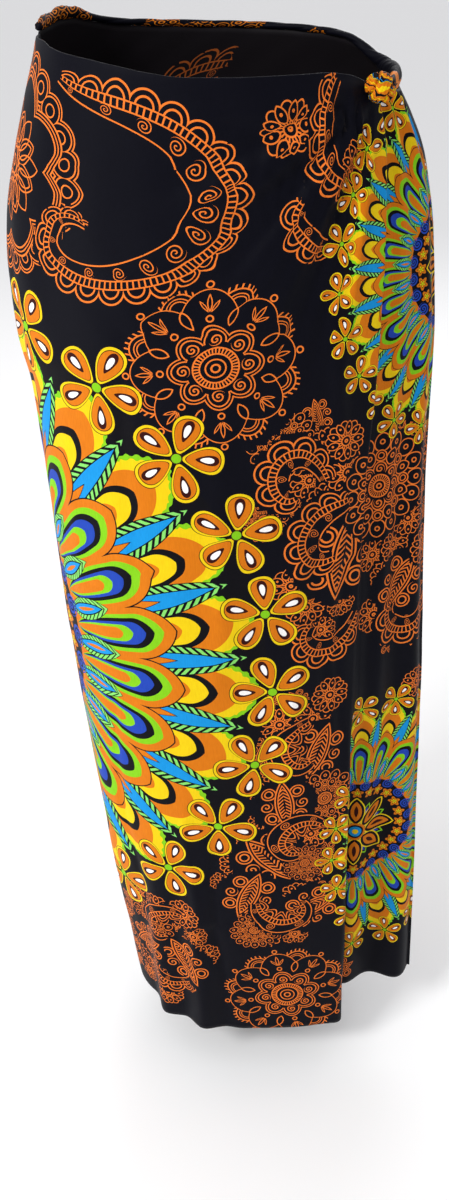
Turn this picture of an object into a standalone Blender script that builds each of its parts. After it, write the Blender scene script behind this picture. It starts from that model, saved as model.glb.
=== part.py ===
"""A worn sarong: one printed length of cloth wrapped once round the hips and tied at one side.

Metres, +Z up, front towards -Y. The origin is the middle of the waist opening, at the mean
height of its edge. The cloth is one sheet. Each stretch of it that shows is an object: the front,
the back with the lap that runs under the front, the end that hangs from the knot, the twisted
roll along the back waist edge, and the knot.
"""

import math

import bmesh
import bpy
from mathutils import Vector

# Cloth and clearances
WALL = 0.0016
SEAM_GAP = 0.0003
ROLL_GAP = 0.0007
FRONT_OUTSET = 0.0045
ROUNDNESS = 0.93
LEFT_SEAM = math.radians(-92.0)
LAP_END = math.radians(-338.0)

# Columns and rows of each wall
FRONT_COLUMNS = 30
PLEAT_COLUMNS = 12
HANGING_COLUMNS = 20
BACK_COLUMNS = 56
FRONT_ROWS = 24
BACK_ROWS = 18
LEVELS = 88

# The wrapped body of cloth, one row for each height: how far it reaches each way
SECTIONS = (
    # height, left, right, front, back
    (0.045, 0.126, 0.110, 0.103, 0.099),
    (0.000, 0.139, 0.130, 0.112, 0.107),
    (-0.030, 0.149, 0.149, 0.115, 0.114),
    (-0.068, 0.161, 0.168, 0.119, 0.121),
    (-0.115, 0.173, 0.180, 0.123, 0.128),
    (-0.165, 0.178, 0.186, 0.125, 0.132),
    (-0.215, 0.176, 0.188, 0.126, 0.132),
    (-0.260, 0.169, 0.184, 0.125, 0.129),
    (-0.360, 0.165, 0.177, 0.124, 0.121),
    (-0.500, 0.160, 0.171, 0.123, 0.112),
    (-0.650, 0.151, 0.165, 0.123, 0.105),
    (-0.800, 0.139, 0.158, 0.124, 0.100),
    (-0.920, 0.124, 0.153, 0.125, 0.097),
    (-1.000, 0.116, 0.150, 0.125, 0.095),
)

# How the outer layer leaves the body: the pleat below the knot and the hanging end's free edge.
# Square 0 keeps the front on the body's curve up to the pleat, and 1 carries it straight across.
DRAPE = (
    # height, pleat_x, square, pleat_length, pleat_turn, edge_x, edge_y, lap_inset, flute
    (0.000, 0.1170, 0.00, 0.010, 55.0, 0.132, -0.052, 0.0100, 0.0000),
    (-0.030, 0.1250, 0.00, 0.012, 65.0, 0.144, -0.048, 0.0145, 0.0010),
    (-0.070, 0.1310, 0.00, 0.014, 75.0, 0.163, -0.042, 0.0165, 0.0018),
    (-0.115, 0.1315, 0.00, 0.015, 80.0, 0.175, -0.042, 0.0170, 0.0020),
    (-0.165, 0.1305, 0.00, 0.015, 80.0, 0.181, -0.043, 0.0160, 0.0020),
    (-0.230, 0.1290, 0.00, 0.015, 75.0, 0.185, -0.045, 0.0140, 0.0020),
    (-0.330, 0.1240, 0.00, 0.015, 70.0, 0.186, -0.045, 0.0135, 0.0024),
    (-0.450, 0.1215, 0.03, 0.013, 40.0, 0.191, -0.046, 0.0110, 0.0028),
    (-0.540, 0.1205, 0.08, 0.014, 24.0, 0.196, -0.048, 0.0095, 0.0032),
    (-0.620, 0.1205, 0.25, 0.026, 60.0, 0.199, -0.050, 0.0145, 0.0038),
    (-0.720, 0.1190, 0.50, 0.042, 100.0, 0.202, -0.053, 0.0230, 0.0046),
    (-0.840, 0.1180, 0.75, 0.060, 130.0, 0.206, -0.058, 0.0310, 0.0056),
    (-1.000, 0.1170, 0.92, 0.074, 148.0, 0.210, -0.064, 0.0380, 0.0068),
)

# Waist edge of the front, by the angle round the body from the front middle
FRONT_TOP = (
    # angle, height
    (-95.0, 0.0135),
    (-68.0, 0.0120),
    (-60.0, 0.0085),
    (-50.0, 0.0050),
    (-40.0, 0.0020),
    (-30.0, -0.0020),
    (-20.0, -0.0065),
    (-10.0, -0.0095),
    (10.0, -0.0105),
    (30.0, -0.0105),
    (40.0, -0.0130),
    (45.0, -0.0165),
    (50.0, -0.0220),
    (56.0, -0.0265),
    (64.0, -0.0295),
    (75.0, -0.0295),
)

# Twisted roll of the back waist edge: its middle, its half sizes and how far it stands off
ROLL = (
    # angle, height, half_tall, half_deep, outset
    (-336.0, -0.0330, 0.0060, 0.0036, 0.0220),
    (-311.0, -0.0215, 0.0054, 0.0042, 0.0205),
    (-303.0, -0.0205, 0.0060, 0.0044, 0.0140),
    (-296.0, -0.0200, 0.0064, 0.0046, 0.0085),
    (-286.0, -0.0200, 0.0072, 0.0046, 0.0035),
    (-276.0, -0.0200, 0.0075, 0.0046, 0.0012),
    (-268.0, -0.0190, 0.0072, 0.0046, 0.0010),
    (-260.0, -0.0165, 0.0064, 0.0042, 0.0008),
    (-254.0, -0.0110, 0.0050, 0.0038, 0.0006),
    (-248.0, -0.0040, 0.0038, 0.0034, 0.0006),
    (-242.0, 0.0013, 0.0030, 0.0032, 0.0006),
    (-232.0, 0.0046, 0.0028, 0.0030, 0.0006),
    (-210.0, 0.0080, 0.0028, 0.0030, 0.0006),
    (-180.0, 0.0113, 0.0028, 0.0030, 0.0006),
    (-150.0, 0.0152, 0.0028, 0.0030, 0.0006),
    (-140.0, 0.0177, 0.0030, 0.0032, 0.0006),
    (-132.0, 0.0215, 0.0036, 0.0036, 0.0008),
    (-124.0, 0.0250, 0.0048, 0.0044, 0.0010),
    (-116.0, 0.0252, 0.0052, 0.0050, 0.0012),
    (-108.0, 0.0222, 0.0048, 0.0044, 0.0010),
    (-100.0, 0.0205, 0.0048, 0.0038, 0.0008),
    (-93.0, 0.0180, 0.0036, 0.0032, 0.0006),
    (-86.0, 0.0170, 0.0030, 0.0028, 0.0006),
)
ROLL_START = math.radians(-93.0)
ROLL_FINISH = math.radians(-307.5)
ROLL_STATIONS = 52
ROLL_SIDES = 8
ROLL_STRANDS = 2
ROLL_TWISTS = 9.0
ROLL_RIDGE = 0.10

# The hanging end waves this often across its width
WAVES = 2.27
WAVE_PHASE = 0.616

# Heights of the hem
HEM_FRONT = -1.000
HEM_HANGING = -0.985
HEM_BACK = -0.985

# Soft ridges that the pull of the knot draws across the front, fanned about the knot
KNOT_FOLDS = (
    # fall below level in degrees, height, half_width in degrees, reach
    (6.0, 0.0012, 4.0, 0.120),
    (19.0, -0.0014, 4.5, 0.140),
    (31.0, 0.0019, 5.0, 0.190),
    (44.0, -0.0014, 5.0, 0.210),
    (57.0, 0.0017, 5.0, 0.240),
    (70.0, -0.0012, 4.5, 0.260),
)

# Upright flutes that open towards the hem: distance along the cloth from the front middle
FRONT_FLUTES = (
    # along, height, half_width, starts, full
    (-0.158, 0.0035, 0.016, -0.45, -0.95),
    (-0.118, -0.0040, 0.013, -0.62, -0.95),
    (-0.092, 0.0050, 0.011, -0.66, -0.96),
    (-0.066, -0.0045, 0.011, -0.64, -0.96),
    (-0.042, 0.0045, 0.011, -0.66, -0.96),
    (-0.016, -0.0035, 0.012, -0.70, -0.97),
    (0.055, 0.0022, 0.030, -0.60, -0.97),
)
BACK_FLUTES = (
    (0.050, -0.0030, 0.018, -0.50, -0.98),
    (0.095, 0.0055, 0.024, -0.35, -0.98),
    (0.150, -0.0045, 0.024, -0.40, -0.98),
    (0.205, 0.0060, 0.022, -0.32, -0.98),
    (0.265, -0.0040, 0.022, -0.42, -0.98),
    (0.325, 0.0050, 0.022, -0.38, -0.98),
    (0.385, -0.0030, 0.022, -0.50, -0.98),
)

# Knot
KNOT_MIDDLE = Vector((0.1209, -0.0893, -0.0225))
KNOT_HALF = Vector((0.0115, 0.0100, 0.0098))
KNOT_LEAN = math.radians(-28.0)
KNOT_RINGS = 12
KNOT_SIDES = 20
KNOT_GROOVE = 0.16


def clamp(value, low=0.0, high=1.0):
    return max(low, min(high, value))


def ease(t):
    t = clamp(t)
    return t * t * (3.0 - 2.0 * t)


def read_row(rows, key, column):
    """One column of a table at any key, on a smooth curve through the rows."""
    ordered = sorted(rows, key=lambda row: row[0])
    key = clamp(key, ordered[0][0], ordered[-1][0])
    spot = next(i for i in range(1, len(ordered)) if key <= ordered[i][0])
    low, high = ordered[spot - 1], ordered[spot]
    span = high[0] - low[0]
    rise = high[column] - low[column]

    def slope(i):
        if i <= 0 or i >= len(ordered) - 1:
            return rise / span
        before = (ordered[i][column] - ordered[i - 1][column]) / (ordered[i][0] - ordered[i - 1][0])
        after = (ordered[i + 1][column] - ordered[i][column]) / (ordered[i + 1][0] - ordered[i][0])
        if before * after <= 0.0:
            return 0.0
        return 2.0 * before * after / (before + after)

    t = (key - low[0]) / span
    start, end = slope(spot - 1) * span, slope(spot) * span
    return (
        low[column] * (2 * t**3 - 3 * t**2 + 1)
        + start * (t**3 - 2 * t**2 + t)
        + high[column] * (3 * t**2 - 2 * t**3)
        + end * (t**3 - t**2)
    )


def power(value, exponent):
    return math.copysign(abs(value) ** exponent, value)


def body_point(angle, height, outset=0.0, front_inset=0.0):
    """A point of the wrapped body in plan. The angle is 0 at the front and grows towards +X."""
    left, right, front, back = (read_row(SECTIONS, height, i) for i in range(1, 5))
    across, along = math.sin(angle), math.cos(angle)
    half_width = (right if across > 0 else left) + outset
    depth = (front - front_inset if along > 0 else back) + outset
    return Vector((half_width * power(across, ROUNDNESS), -depth * power(along, ROUNDNESS)))


def angle_at_x(x, height):
    right = read_row(SECTIONS, height, 2)
    return math.asin(clamp((x / right) ** (1.0 / ROUNDNESS), 0.0, 1.0))


def angle_at_y(y, height):
    front = read_row(SECTIONS, height, 3)
    return math.acos(clamp((-y / front) ** (1.0 / ROUNDNESS), 0.0, 1.0))


def plan_normals(line):
    """Unit normals in plan, on the right-hand side of the line as it runs."""
    normals = []
    for i in range(len(line)):
        run = line[min(i + 1, len(line) - 1)] - line[max(i - 1, 0)]
        normals.append(Vector((run.y, -run.x)).normalized())
    return normals


def lengths_along(line):
    total, lengths = 0.0, [0.0]
    for a, b in zip(line, line[1:]):
        total += (b - a).length
        lengths.append(total)
    return lengths


def knot_fold(point, height):
    """Height of the soft ridges that fan out from the knot, at a point of the front."""
    left_of_knot = KNOT_MIDDLE.x - point.x
    below_knot = KNOT_MIDDLE.z - height
    distance = math.hypot(left_of_knot, below_knot)
    fall = math.degrees(math.atan2(below_knot, left_of_knot))
    total = 0.0
    for row_fall, rise, half_width, reach in KNOT_FOLDS:
        fan = math.exp(-(((fall - row_fall) / half_width) ** 2))
        total += rise * fan * ease(distance / 0.05) * (1.0 - ease((distance - 0.05) / reach))
    return total


def flute(rows, along, height):
    total = 0.0
    for middle, rise, half_width, starts, full in rows:
        grown = ease((starts - height) / (starts - full))
        total += rise * grown * math.exp(-(((along - middle) / half_width) ** 2))
    return total


def pleat_line(start, heading, length, turn):
    """The cloth turns back under itself by turn and then forward again, over this much cloth."""
    line, steps = [start], 4 * PLEAT_COLUMNS
    here = start.copy()
    for i in range(steps):
        share = (i + 0.5) / steps
        bend = ease(share / 0.36) * (1.0 - ease((share - 0.64) / 0.36))
        direction = heading + turn * bend
        here = here + Vector((math.cos(direction), math.sin(direction))) * (length / steps)
        line.append(here)
    return line[:: steps // PLEAT_COLUMNS]


def outer_line(height):
    """The outer layer in plan at one height: the front, the pleat and the hanging end."""
    pleat_x, square, length, turn, edge_x, edge_y, _, wave = (
        read_row(DRAPE, height, i) for i in range(1, 9)
    )
    turn = math.radians(turn)
    reach = 0.36 * length * math.sin(min(turn, math.pi / 2)) / max(turn, 0.4)
    start_x = pleat_x - reach
    last_angle = angle_at_x(start_x / (1.0 + FRONT_OUTSET / 0.17), height)
    front, middle = [], 0
    for i in range(FRONT_COLUMNS + 1):
        angle = LEFT_SEAM + (last_angle - LEFT_SEAM) * i / FRONT_COLUMNS
        outset = FRONT_OUTSET * ease((angle - LEFT_SEAM) / math.radians(60.0))
        point = body_point(angle, height, outset)
        if point.x > 0.0:
            point.y += square * (front[middle].y - point.y)
        else:
            middle = i
        front.append(point)
    lengths = lengths_along(front)
    normals = plan_normals(front)
    shaped = []
    for point, normal, along in zip(front, normals, lengths):
        rise = flute(FRONT_FLUTES, along - lengths[middle], height)
        rise += knot_fold(point, height) * ease((start_x - point.x) / 0.02)
        shaped.append(point + normal * rise)
    run = shaped[-1] - shaped[-2]
    pleat = pleat_line(shaped[-1], math.atan2(run.y, run.x), length, turn)
    first_angle = angle_at_x(clamp(pleat[-1].x, 0.02, 0.14), height)
    end_angle = angle_at_y(edge_y, height)
    off_start = pleat[-1] - body_point(first_angle, height)
    off_end = Vector((edge_x, edge_y)) - body_point(end_angle, height)
    hanging = []
    for i in range(HANGING_COLUMNS + 1):
        t = i / HANGING_COLUMNS
        base = body_point(first_angle + (end_angle - first_angle) * t, height)
        hanging.append(base + off_start * (1.0 - ease(t)) + off_end * ease(t))
    normals = plan_normals(hanging)
    for i, normal in enumerate(normals):
        t = i / HANGING_COLUMNS
        swell = math.sin(2.0 * math.pi * (WAVES * t + WAVE_PHASE)) * ease(t / 0.3)
        hanging[i] = hanging[i] + normal * wave * swell
    return shaped + pleat[1:] + hanging[1:]


def back_line(height):
    """The inner layer in plan: from the left side round the back to the lap under the front."""
    inset = read_row(DRAPE, height, 7)
    line = []
    for i in range(BACK_COLUMNS + 1):
        angle = LEFT_SEAM + (LAP_END - LEFT_SEAM) * i / BACK_COLUMNS
        lapped = ease((math.radians(-254.0) - angle) / math.radians(32.0))
        line.append(body_point(angle, height, 0.0, inset * lapped))
    lengths = lengths_along(line)
    normals = plan_normals(line)
    shaped = []
    for point, normal, along in zip(line, normals, lengths):
        shaped.append(point - normal * flute(BACK_FLUTES, along, height))
    return shaped


def front_top(column, line):
    """Waist edge height over one column of the outer layer."""
    point = line[column]
    angle = math.degrees(math.atan2(point.x / 0.141, -point.y / 0.112))
    return read_row(FRONT_TOP, clamp(angle, -95.0, 75.0), 1)


def back_top(column):
    angle = LEFT_SEAM + (LAP_END - LEFT_SEAM) * column / BACK_COLUMNS
    degrees = math.degrees(angle)
    tucked = 0.004 * ease((-262.0 - degrees) / 24.0)
    return read_row(ROLL, degrees, 1) - read_row(ROLL, degrees, 2) - ROLL_GAP - tucked


def lines_by_level(line_at, low, high):
    """The plan lines and their normals at even heights from the hem up."""
    levels = []
    for k in range(LEVELS + 1):
        line = line_at(low + (high - low) * k / LEVELS)
        levels.append((line, plan_normals(line)))
    return levels


def wall_rows(line_at, tops, hems, columns, rows, outside):
    """Two grids of points, the outer and the inner face, over these columns of the lines."""
    low, high = min(hems), max(tops)
    levels = lines_by_level(line_at, low, high)
    outer, inner = [], []
    for j in range(rows + 1):
        share = (j / rows) ** 1.12
        outer_row, inner_row = [], []
        for i in columns:
            height = tops[i] + (hems[i] - tops[i]) * share
            spot = clamp((height - low) / (high - low) * LEVELS, 0.0, LEVELS - 1e-6)
            (under, under_normals), (above, above_normals) = levels[int(spot)], levels[int(spot) + 1]
            point = under[i].lerp(above[i], spot % 1.0)
            normal = under_normals[i].lerp(above_normals[i], spot % 1.0).normalized() * outside
            within = point - normal * WALL
            outer_row.append(Vector((point.x, point.y, height)))
            inner_row.append(Vector((within.x, within.y, height)))
        outer.append(outer_row)
        inner.append(inner_row)
    return outer, inner


def shift_edge(outer, inner, column, towards, gap):
    """Draws one edge column of a wall back from its seam."""
    for grid in (outer, inner):
        for row in grid:
            run = (row[towards] - row[column]).normalized()
            row[column] = row[column] + run * gap


def make_material(name, colour, roughness):
    material = bpy.data.materials.new(name)
    material.use_nodes = True
    shader = material.node_tree.nodes["Principled BSDF"]
    shader.inputs["Base Color"].default_value = (*colour, 1.0)
    shader.inputs["Roughness"].default_value = roughness
    return material


def finish_object(name, mesh_data, material):
    mesh = bpy.data.meshes.new(name)
    bmesh.ops.recalc_face_normals(mesh_data, faces=mesh_data.faces)
    mesh_data.to_mesh(mesh)
    mesh_data.free()
    mesh.shade_smooth()
    mesh.set_sharp_from_angle(angle=math.radians(50.0))
    mesh.materials.append(material)
    made = bpy.data.objects.new(name, mesh)
    bpy.context.scene.collection.objects.link(made)
    return made


def make_wall(name, outer, inner, material):
    """A closed wall between two grids of points."""
    data = bmesh.new()
    rows, columns = len(outer), len(outer[0])
    out = [[data.verts.new(point) for point in row] for row in outer]
    into = [[data.verts.new(point) for point in row] for row in inner]
    for j in range(rows - 1):
        for i in range(columns - 1):
            data.faces.new((out[j][i], out[j + 1][i], out[j + 1][i + 1], out[j][i + 1]))
            data.faces.new((into[j][i], into[j][i + 1], into[j + 1][i + 1], into[j + 1][i]))
    for i in range(columns - 1):
        data.faces.new((out[0][i], out[0][i + 1], into[0][i + 1], into[0][i]))
        data.faces.new((out[-1][i + 1], out[-1][i], into[-1][i], into[-1][i + 1]))
    for j in range(rows - 1):
        data.faces.new((out[j + 1][0], out[j][0], into[j][0], into[j + 1][0]))
        data.faces.new((out[j][-1], out[j + 1][-1], into[j + 1][-1], into[j][-1]))
    return finish_object(name, data, material)


def make_front_and_hanging_end(cloth):
    """The outer layer, cut into two objects along the hidden valley of the pleat."""
    level = outer_line(-0.02)
    split = FRONT_COLUMNS + PLEAT_COLUMNS // 2
    last = len(level) - 1
    tops = [front_top(i, level) for i in range(last + 1)]
    hems = [HEM_FRONT if i <= FRONT_COLUMNS + 2 else HEM_HANGING for i in range(last + 1)]
    for i in range(FRONT_COLUMNS + 3, split + 1):
        share = (i - FRONT_COLUMNS - 2) / (split - FRONT_COLUMNS - 2)
        hems[i] = HEM_FRONT + (HEM_HANGING - HEM_FRONT) * ease(share)
    outer, inner = wall_rows(outer_line, tops, hems, range(0, split + 1), FRONT_ROWS, 1.0)
    shift_edge(outer, inner, 0, 1, SEAM_GAP)
    shift_edge(outer, inner, -1, -2, SEAM_GAP / 2)
    make_wall("front_wrap", outer, inner, cloth)
    outer, inner = wall_rows(outer_line, tops, hems, range(split, last + 1), FRONT_ROWS, 1.0)
    shift_edge(outer, inner, 0, 1, SEAM_GAP)
    make_wall("hanging_end", outer, inner, cloth)


def make_back(cloth):
    tops = [back_top(i) for i in range(BACK_COLUMNS + 1)]
    hems = [HEM_BACK] * (BACK_COLUMNS + 1)
    outer, inner = wall_rows(back_line, tops, hems, range(0, BACK_COLUMNS + 1), BACK_ROWS, -1.0)
    shift_edge(outer, inner, 0, 1, SEAM_GAP)
    make_wall("back_wrap", outer, inner, cloth)


def make_waist_roll(cloth):
    """The top edge of the back, twisted into a roll that thickens where it nears the knot."""
    stations = []
    for k in range(ROLL_STATIONS + 1):
        angle = ROLL_START + (ROLL_FINISH - ROLL_START) * k / ROLL_STATIONS
        degrees = math.degrees(angle)
        height, tall, deep, outset = (read_row(ROLL, degrees, i) for i in range(1, 5))
        middle = body_point(angle, height, outset)
        ahead = body_point(angle - 0.01, height, outset) - middle
        side = Vector((-ahead.y, ahead.x)).normalized()
        ring = []
        for s in range(ROLL_SIDES):
            turn = 2.0 * math.pi * s / ROLL_SIDES
            twist = ROLL_STRANDS * turn + 2.0 * math.pi * ROLL_TWISTS * k / ROLL_STATIONS
            size = 1.0 - ROLL_RIDGE * (0.5 - 0.5 * math.cos(twist))
            offset = side * math.cos(turn) * deep * size
            up = math.sin(turn) * tall * size
            ring.append(Vector((middle.x + offset.x, middle.y + offset.y, height + up)))
        stations.append(ring)
    data = bmesh.new()
    rings = [[data.verts.new(point) for point in ring] for ring in stations]
    for a, b in zip(rings, rings[1:]):
        for s in range(ROLL_SIDES):
            after = (s + 1) % ROLL_SIDES
            data.faces.new((a[s], a[after], b[after], b[s]))
    data.faces.new(rings[0])
    data.faces.new(reversed(rings[-1]))
    finish_object("waist_roll", data, cloth)


def make_knot(cloth):
    """The two top corners tied together: a firm lobed knot with one turn of cloth across it."""
    data = bmesh.new()
    lean_cos, lean_sin = math.cos(KNOT_LEAN), math.sin(KNOT_LEAN)

    def place(direction, size):
        local = direction * KNOT_HALF * size
        leaned_x = local.x * lean_cos - local.z * lean_sin
        leaned_z = local.x * lean_sin + local.z * lean_cos
        return KNOT_MIDDLE + Vector((leaned_x, local.y, leaned_z))

    rings = []
    for r in range(1, KNOT_RINGS):
        polar = math.pi * r / KNOT_RINGS
        ring = []
        for s in range(KNOT_SIDES):
            round_it = 2.0 * math.pi * s / KNOT_SIDES
            across = math.sin(polar) * math.cos(round_it)
            along = math.sin(polar) * math.sin(round_it)
            direction = Vector((across, along, math.cos(polar)))
            groove = math.exp(-(((abs(direction.x) - 0.52) / 0.14) ** 2))
            ring.append(data.verts.new(place(direction, 1.0 - KNOT_GROOVE * groove)))
        rings.append(ring)
    top = data.verts.new(place(Vector((0, 0, 1)), 1.0))
    bottom = data.verts.new(place(Vector((0, 0, -1)), 1.0))
    for s in range(KNOT_SIDES):
        after = (s + 1) % KNOT_SIDES
        data.faces.new((top, rings[0][s], rings[0][after]))
        data.faces.new((bottom, rings[-1][after], rings[-1][s]))
        for a, b in zip(rings, rings[1:]):
            data.faces.new((a[s], b[s], b[after], a[after]))
    finish_object("knot", data, cloth)


for old in list(bpy.data.objects):
    bpy.data.objects.remove(old)

printed_cloth = make_material("printed_cloth", (0.018, 0.017, 0.026), 0.72)
knot_cloth = make_material("knot_cloth", (0.62, 0.28, 0.03), 0.72)
make_front_and_hanging_end(printed_cloth)
make_back(printed_cloth)
make_waist_roll(printed_cloth)
make_knot(knot_cloth)
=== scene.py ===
"""A worn sarong, dressed: one printed length of woven rayon, wrapped round the hips and tied."""

import math

import bpy
import numpy as np
from mathutils import Matrix, Vector


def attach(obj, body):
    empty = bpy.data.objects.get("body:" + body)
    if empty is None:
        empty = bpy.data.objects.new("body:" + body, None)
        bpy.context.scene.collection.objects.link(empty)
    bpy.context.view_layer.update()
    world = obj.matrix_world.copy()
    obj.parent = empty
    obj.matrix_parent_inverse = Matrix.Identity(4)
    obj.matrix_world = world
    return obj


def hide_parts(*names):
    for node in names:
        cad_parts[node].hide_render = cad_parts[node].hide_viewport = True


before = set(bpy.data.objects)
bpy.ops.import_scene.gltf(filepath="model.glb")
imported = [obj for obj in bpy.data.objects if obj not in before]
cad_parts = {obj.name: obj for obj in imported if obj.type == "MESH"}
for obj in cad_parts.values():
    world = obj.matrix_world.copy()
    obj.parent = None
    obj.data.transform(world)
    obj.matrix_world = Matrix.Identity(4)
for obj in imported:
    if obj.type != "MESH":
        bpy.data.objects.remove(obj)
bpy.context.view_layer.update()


# Camera
# A hand-held view from a little above the waist, looking down the length of the cloth. Places are
# in metres and turns in radians.
CAMERA_PLACE = Vector((-0.0174, -0.970, 0.0716))
CAMERA_DOWN = 0.5363
CAMERA_YAW = 0.0162
CAMERA_ROLL = -0.0279
CAMERA_LENS_MM = 33.22
SENSOR_MM = 36.0
FARTHEST_SEEN = 60.0

ahead = Vector((
    math.sin(CAMERA_YAW) * math.cos(CAMERA_DOWN),
    math.cos(CAMERA_YAW) * math.cos(CAMERA_DOWN),
    -math.sin(CAMERA_DOWN),
))
level_right = Vector((math.cos(CAMERA_YAW), -math.sin(CAMERA_YAW), 0.0))
level_up = level_right.cross(ahead)
right = math.cos(CAMERA_ROLL) * level_right + math.sin(CAMERA_ROLL) * level_up
up = math.cos(CAMERA_ROLL) * level_up - math.sin(CAMERA_ROLL) * level_right
camera_data = bpy.data.cameras.new("camera")
camera_data.lens = CAMERA_LENS_MM
camera_data.sensor_width = SENSOR_MM
camera_data.clip_end = FARTHEST_SEEN
camera = bpy.data.objects.new("camera", camera_data)
bpy.context.scene.collection.objects.link(camera)
turned = Matrix((right, up, -ahead)).transposed().to_4x4()
camera.matrix_world = Matrix.Translation(CAMERA_PLACE) @ turned
bpy.context.scene.camera = camera


# The way the cloth is wrapped
# One uncut length of limp rayon goes once round the hips and laps over itself in front, held by its
# knot alone. Each row gives how far it reaches at one height, and how the outer layer leaves the
# wrap: in a pleat below the knot, and then as the free end that hangs beside it.
ROUNDNESS = 0.93
FRONT_OUTSET = 0.0045
LEFT_SEAM = math.radians(-92.0)
LAP_END = math.radians(-338.0)
SECTIONS = (
    # height, left, right, front, back
    (0.045, 0.126, 0.110, 0.103, 0.099),
    (0.000, 0.139, 0.130, 0.112, 0.107),
    (-0.030, 0.149, 0.149, 0.115, 0.114),
    (-0.068, 0.161, 0.168, 0.119, 0.121),
    (-0.115, 0.173, 0.180, 0.123, 0.128),
    (-0.165, 0.178, 0.186, 0.125, 0.132),
    (-0.215, 0.176, 0.188, 0.126, 0.132),
    (-0.260, 0.169, 0.184, 0.125, 0.129),
    (-0.360, 0.165, 0.177, 0.124, 0.121),
    (-0.500, 0.160, 0.171, 0.123, 0.112),
    (-0.650, 0.151, 0.165, 0.123, 0.105),
    (-0.800, 0.139, 0.158, 0.124, 0.100),
    (-0.920, 0.124, 0.153, 0.125, 0.097),
    (-1.000, 0.116, 0.150, 0.125, 0.095),
)
DRAPE = (
    # height, pleat_x, square, pleat_length, pleat_turn, edge_x, edge_y, lap_inset, flute
    (0.000, 0.1170, 0.00, 0.010, 55.0, 0.132, -0.052, 0.0100, 0.0000),
    (-0.030, 0.1250, 0.00, 0.012, 65.0, 0.144, -0.048, 0.0145, 0.0010),
    (-0.070, 0.1310, 0.00, 0.014, 75.0, 0.163, -0.042, 0.0165, 0.0018),
    (-0.115, 0.1315, 0.00, 0.015, 80.0, 0.175, -0.042, 0.0170, 0.0020),
    (-0.165, 0.1305, 0.00, 0.015, 80.0, 0.181, -0.043, 0.0160, 0.0020),
    (-0.230, 0.1290, 0.00, 0.015, 75.0, 0.185, -0.045, 0.0140, 0.0020),
    (-0.330, 0.1240, 0.00, 0.015, 70.0, 0.186, -0.045, 0.0135, 0.0024),
    (-0.450, 0.1215, 0.03, 0.013, 40.0, 0.191, -0.046, 0.0110, 0.0028),
    (-0.540, 0.1205, 0.08, 0.014, 24.0, 0.196, -0.048, 0.0095, 0.0032),
    (-0.620, 0.1205, 0.25, 0.026, 60.0, 0.199, -0.050, 0.0145, 0.0038),
    (-0.720, 0.1190, 0.50, 0.042, 100.0, 0.202, -0.053, 0.0230, 0.0046),
    (-0.840, 0.1180, 0.75, 0.060, 130.0, 0.206, -0.058, 0.0310, 0.0056),
    (-1.000, 0.1170, 0.92, 0.074, 148.0, 0.210, -0.064, 0.0380, 0.0068),
)
KNOT_MIDDLE = Vector((0.1209, -0.0893, -0.0225))
LEVELS = 110


def at(table, key):
    """The columns of a table at one key, on a smooth curve through its rows."""
    rows = np.array(sorted(table))
    key = min(max(key, rows[0, 0]), rows[-1, 0])
    spot = min(max(int(np.searchsorted(rows[:, 0], key)), 1), len(rows) - 1)
    low, high = rows[spot - 1], rows[spot]
    span = high[0] - low[0]
    rise = high - low

    def slope(i):
        """The slope at one row, level where the table turns, so that the curve never overshoots."""
        if i <= 0 or i >= len(rows) - 1:
            return rise / span
        before = (rows[i] - rows[i - 1]) / (rows[i, 0] - rows[i - 1, 0])
        after = (rows[i + 1] - rows[i]) / (rows[i + 1, 0] - rows[i, 0])
        product = before * after
        return np.where(product > 0, 2 * product / np.where(product > 0, before + after, 1.0), 0.0)

    t = (key - low[0]) / span
    value = low * (2 * t**3 - 3 * t**2 + 1) + high * (3 * t**2 - 2 * t**3)
    value += slope(spot - 1) * span * (t**3 - 2 * t**2 + t) + slope(spot) * span * (t**3 - t**2)
    return value[1:]


def ease(t):
    """0 below 0, 1 above 1, and a smooth rise between."""
    t = np.clip(t, 0.0, 1.0)
    return t * t * (3.0 - 2.0 * t)


def bump(offset, half_width):
    """A rounded ridge of height 1."""
    return np.exp(-((offset / half_width) ** 2))


def round_body(angles, reach, outset=0.0, inset=0.0):
    """Points of the wrapped body in plan, at angles from the front middle towards +X."""
    left, right_side, front, back = reach
    across, along = np.sin(angles), np.cos(angles)
    half_width = np.where(across > 0, right_side, left) + outset
    depth = np.where(along > 0, front - inset, back) + outset
    x = half_width * np.sign(across) * np.abs(across) ** ROUNDNESS
    y = -depth * np.sign(along) * np.abs(along) ** ROUNDNESS
    return np.stack((x, y), axis=-1)


def plan_normals(line):
    """Unit normals in plan, on the right-hand side of the line as it runs."""
    run = np.gradient(line, axis=0)
    normals = np.stack((run[:, 1], -run[:, 0]), axis=-1)
    return normals / np.linalg.norm(normals, axis=1, keepdims=True)


def lengths_along(line):
    """How far along the line each of its points lies."""
    steps = np.linalg.norm(np.diff(line, axis=0), axis=1)
    return np.concatenate(([0.0], np.cumsum(steps)))


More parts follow.
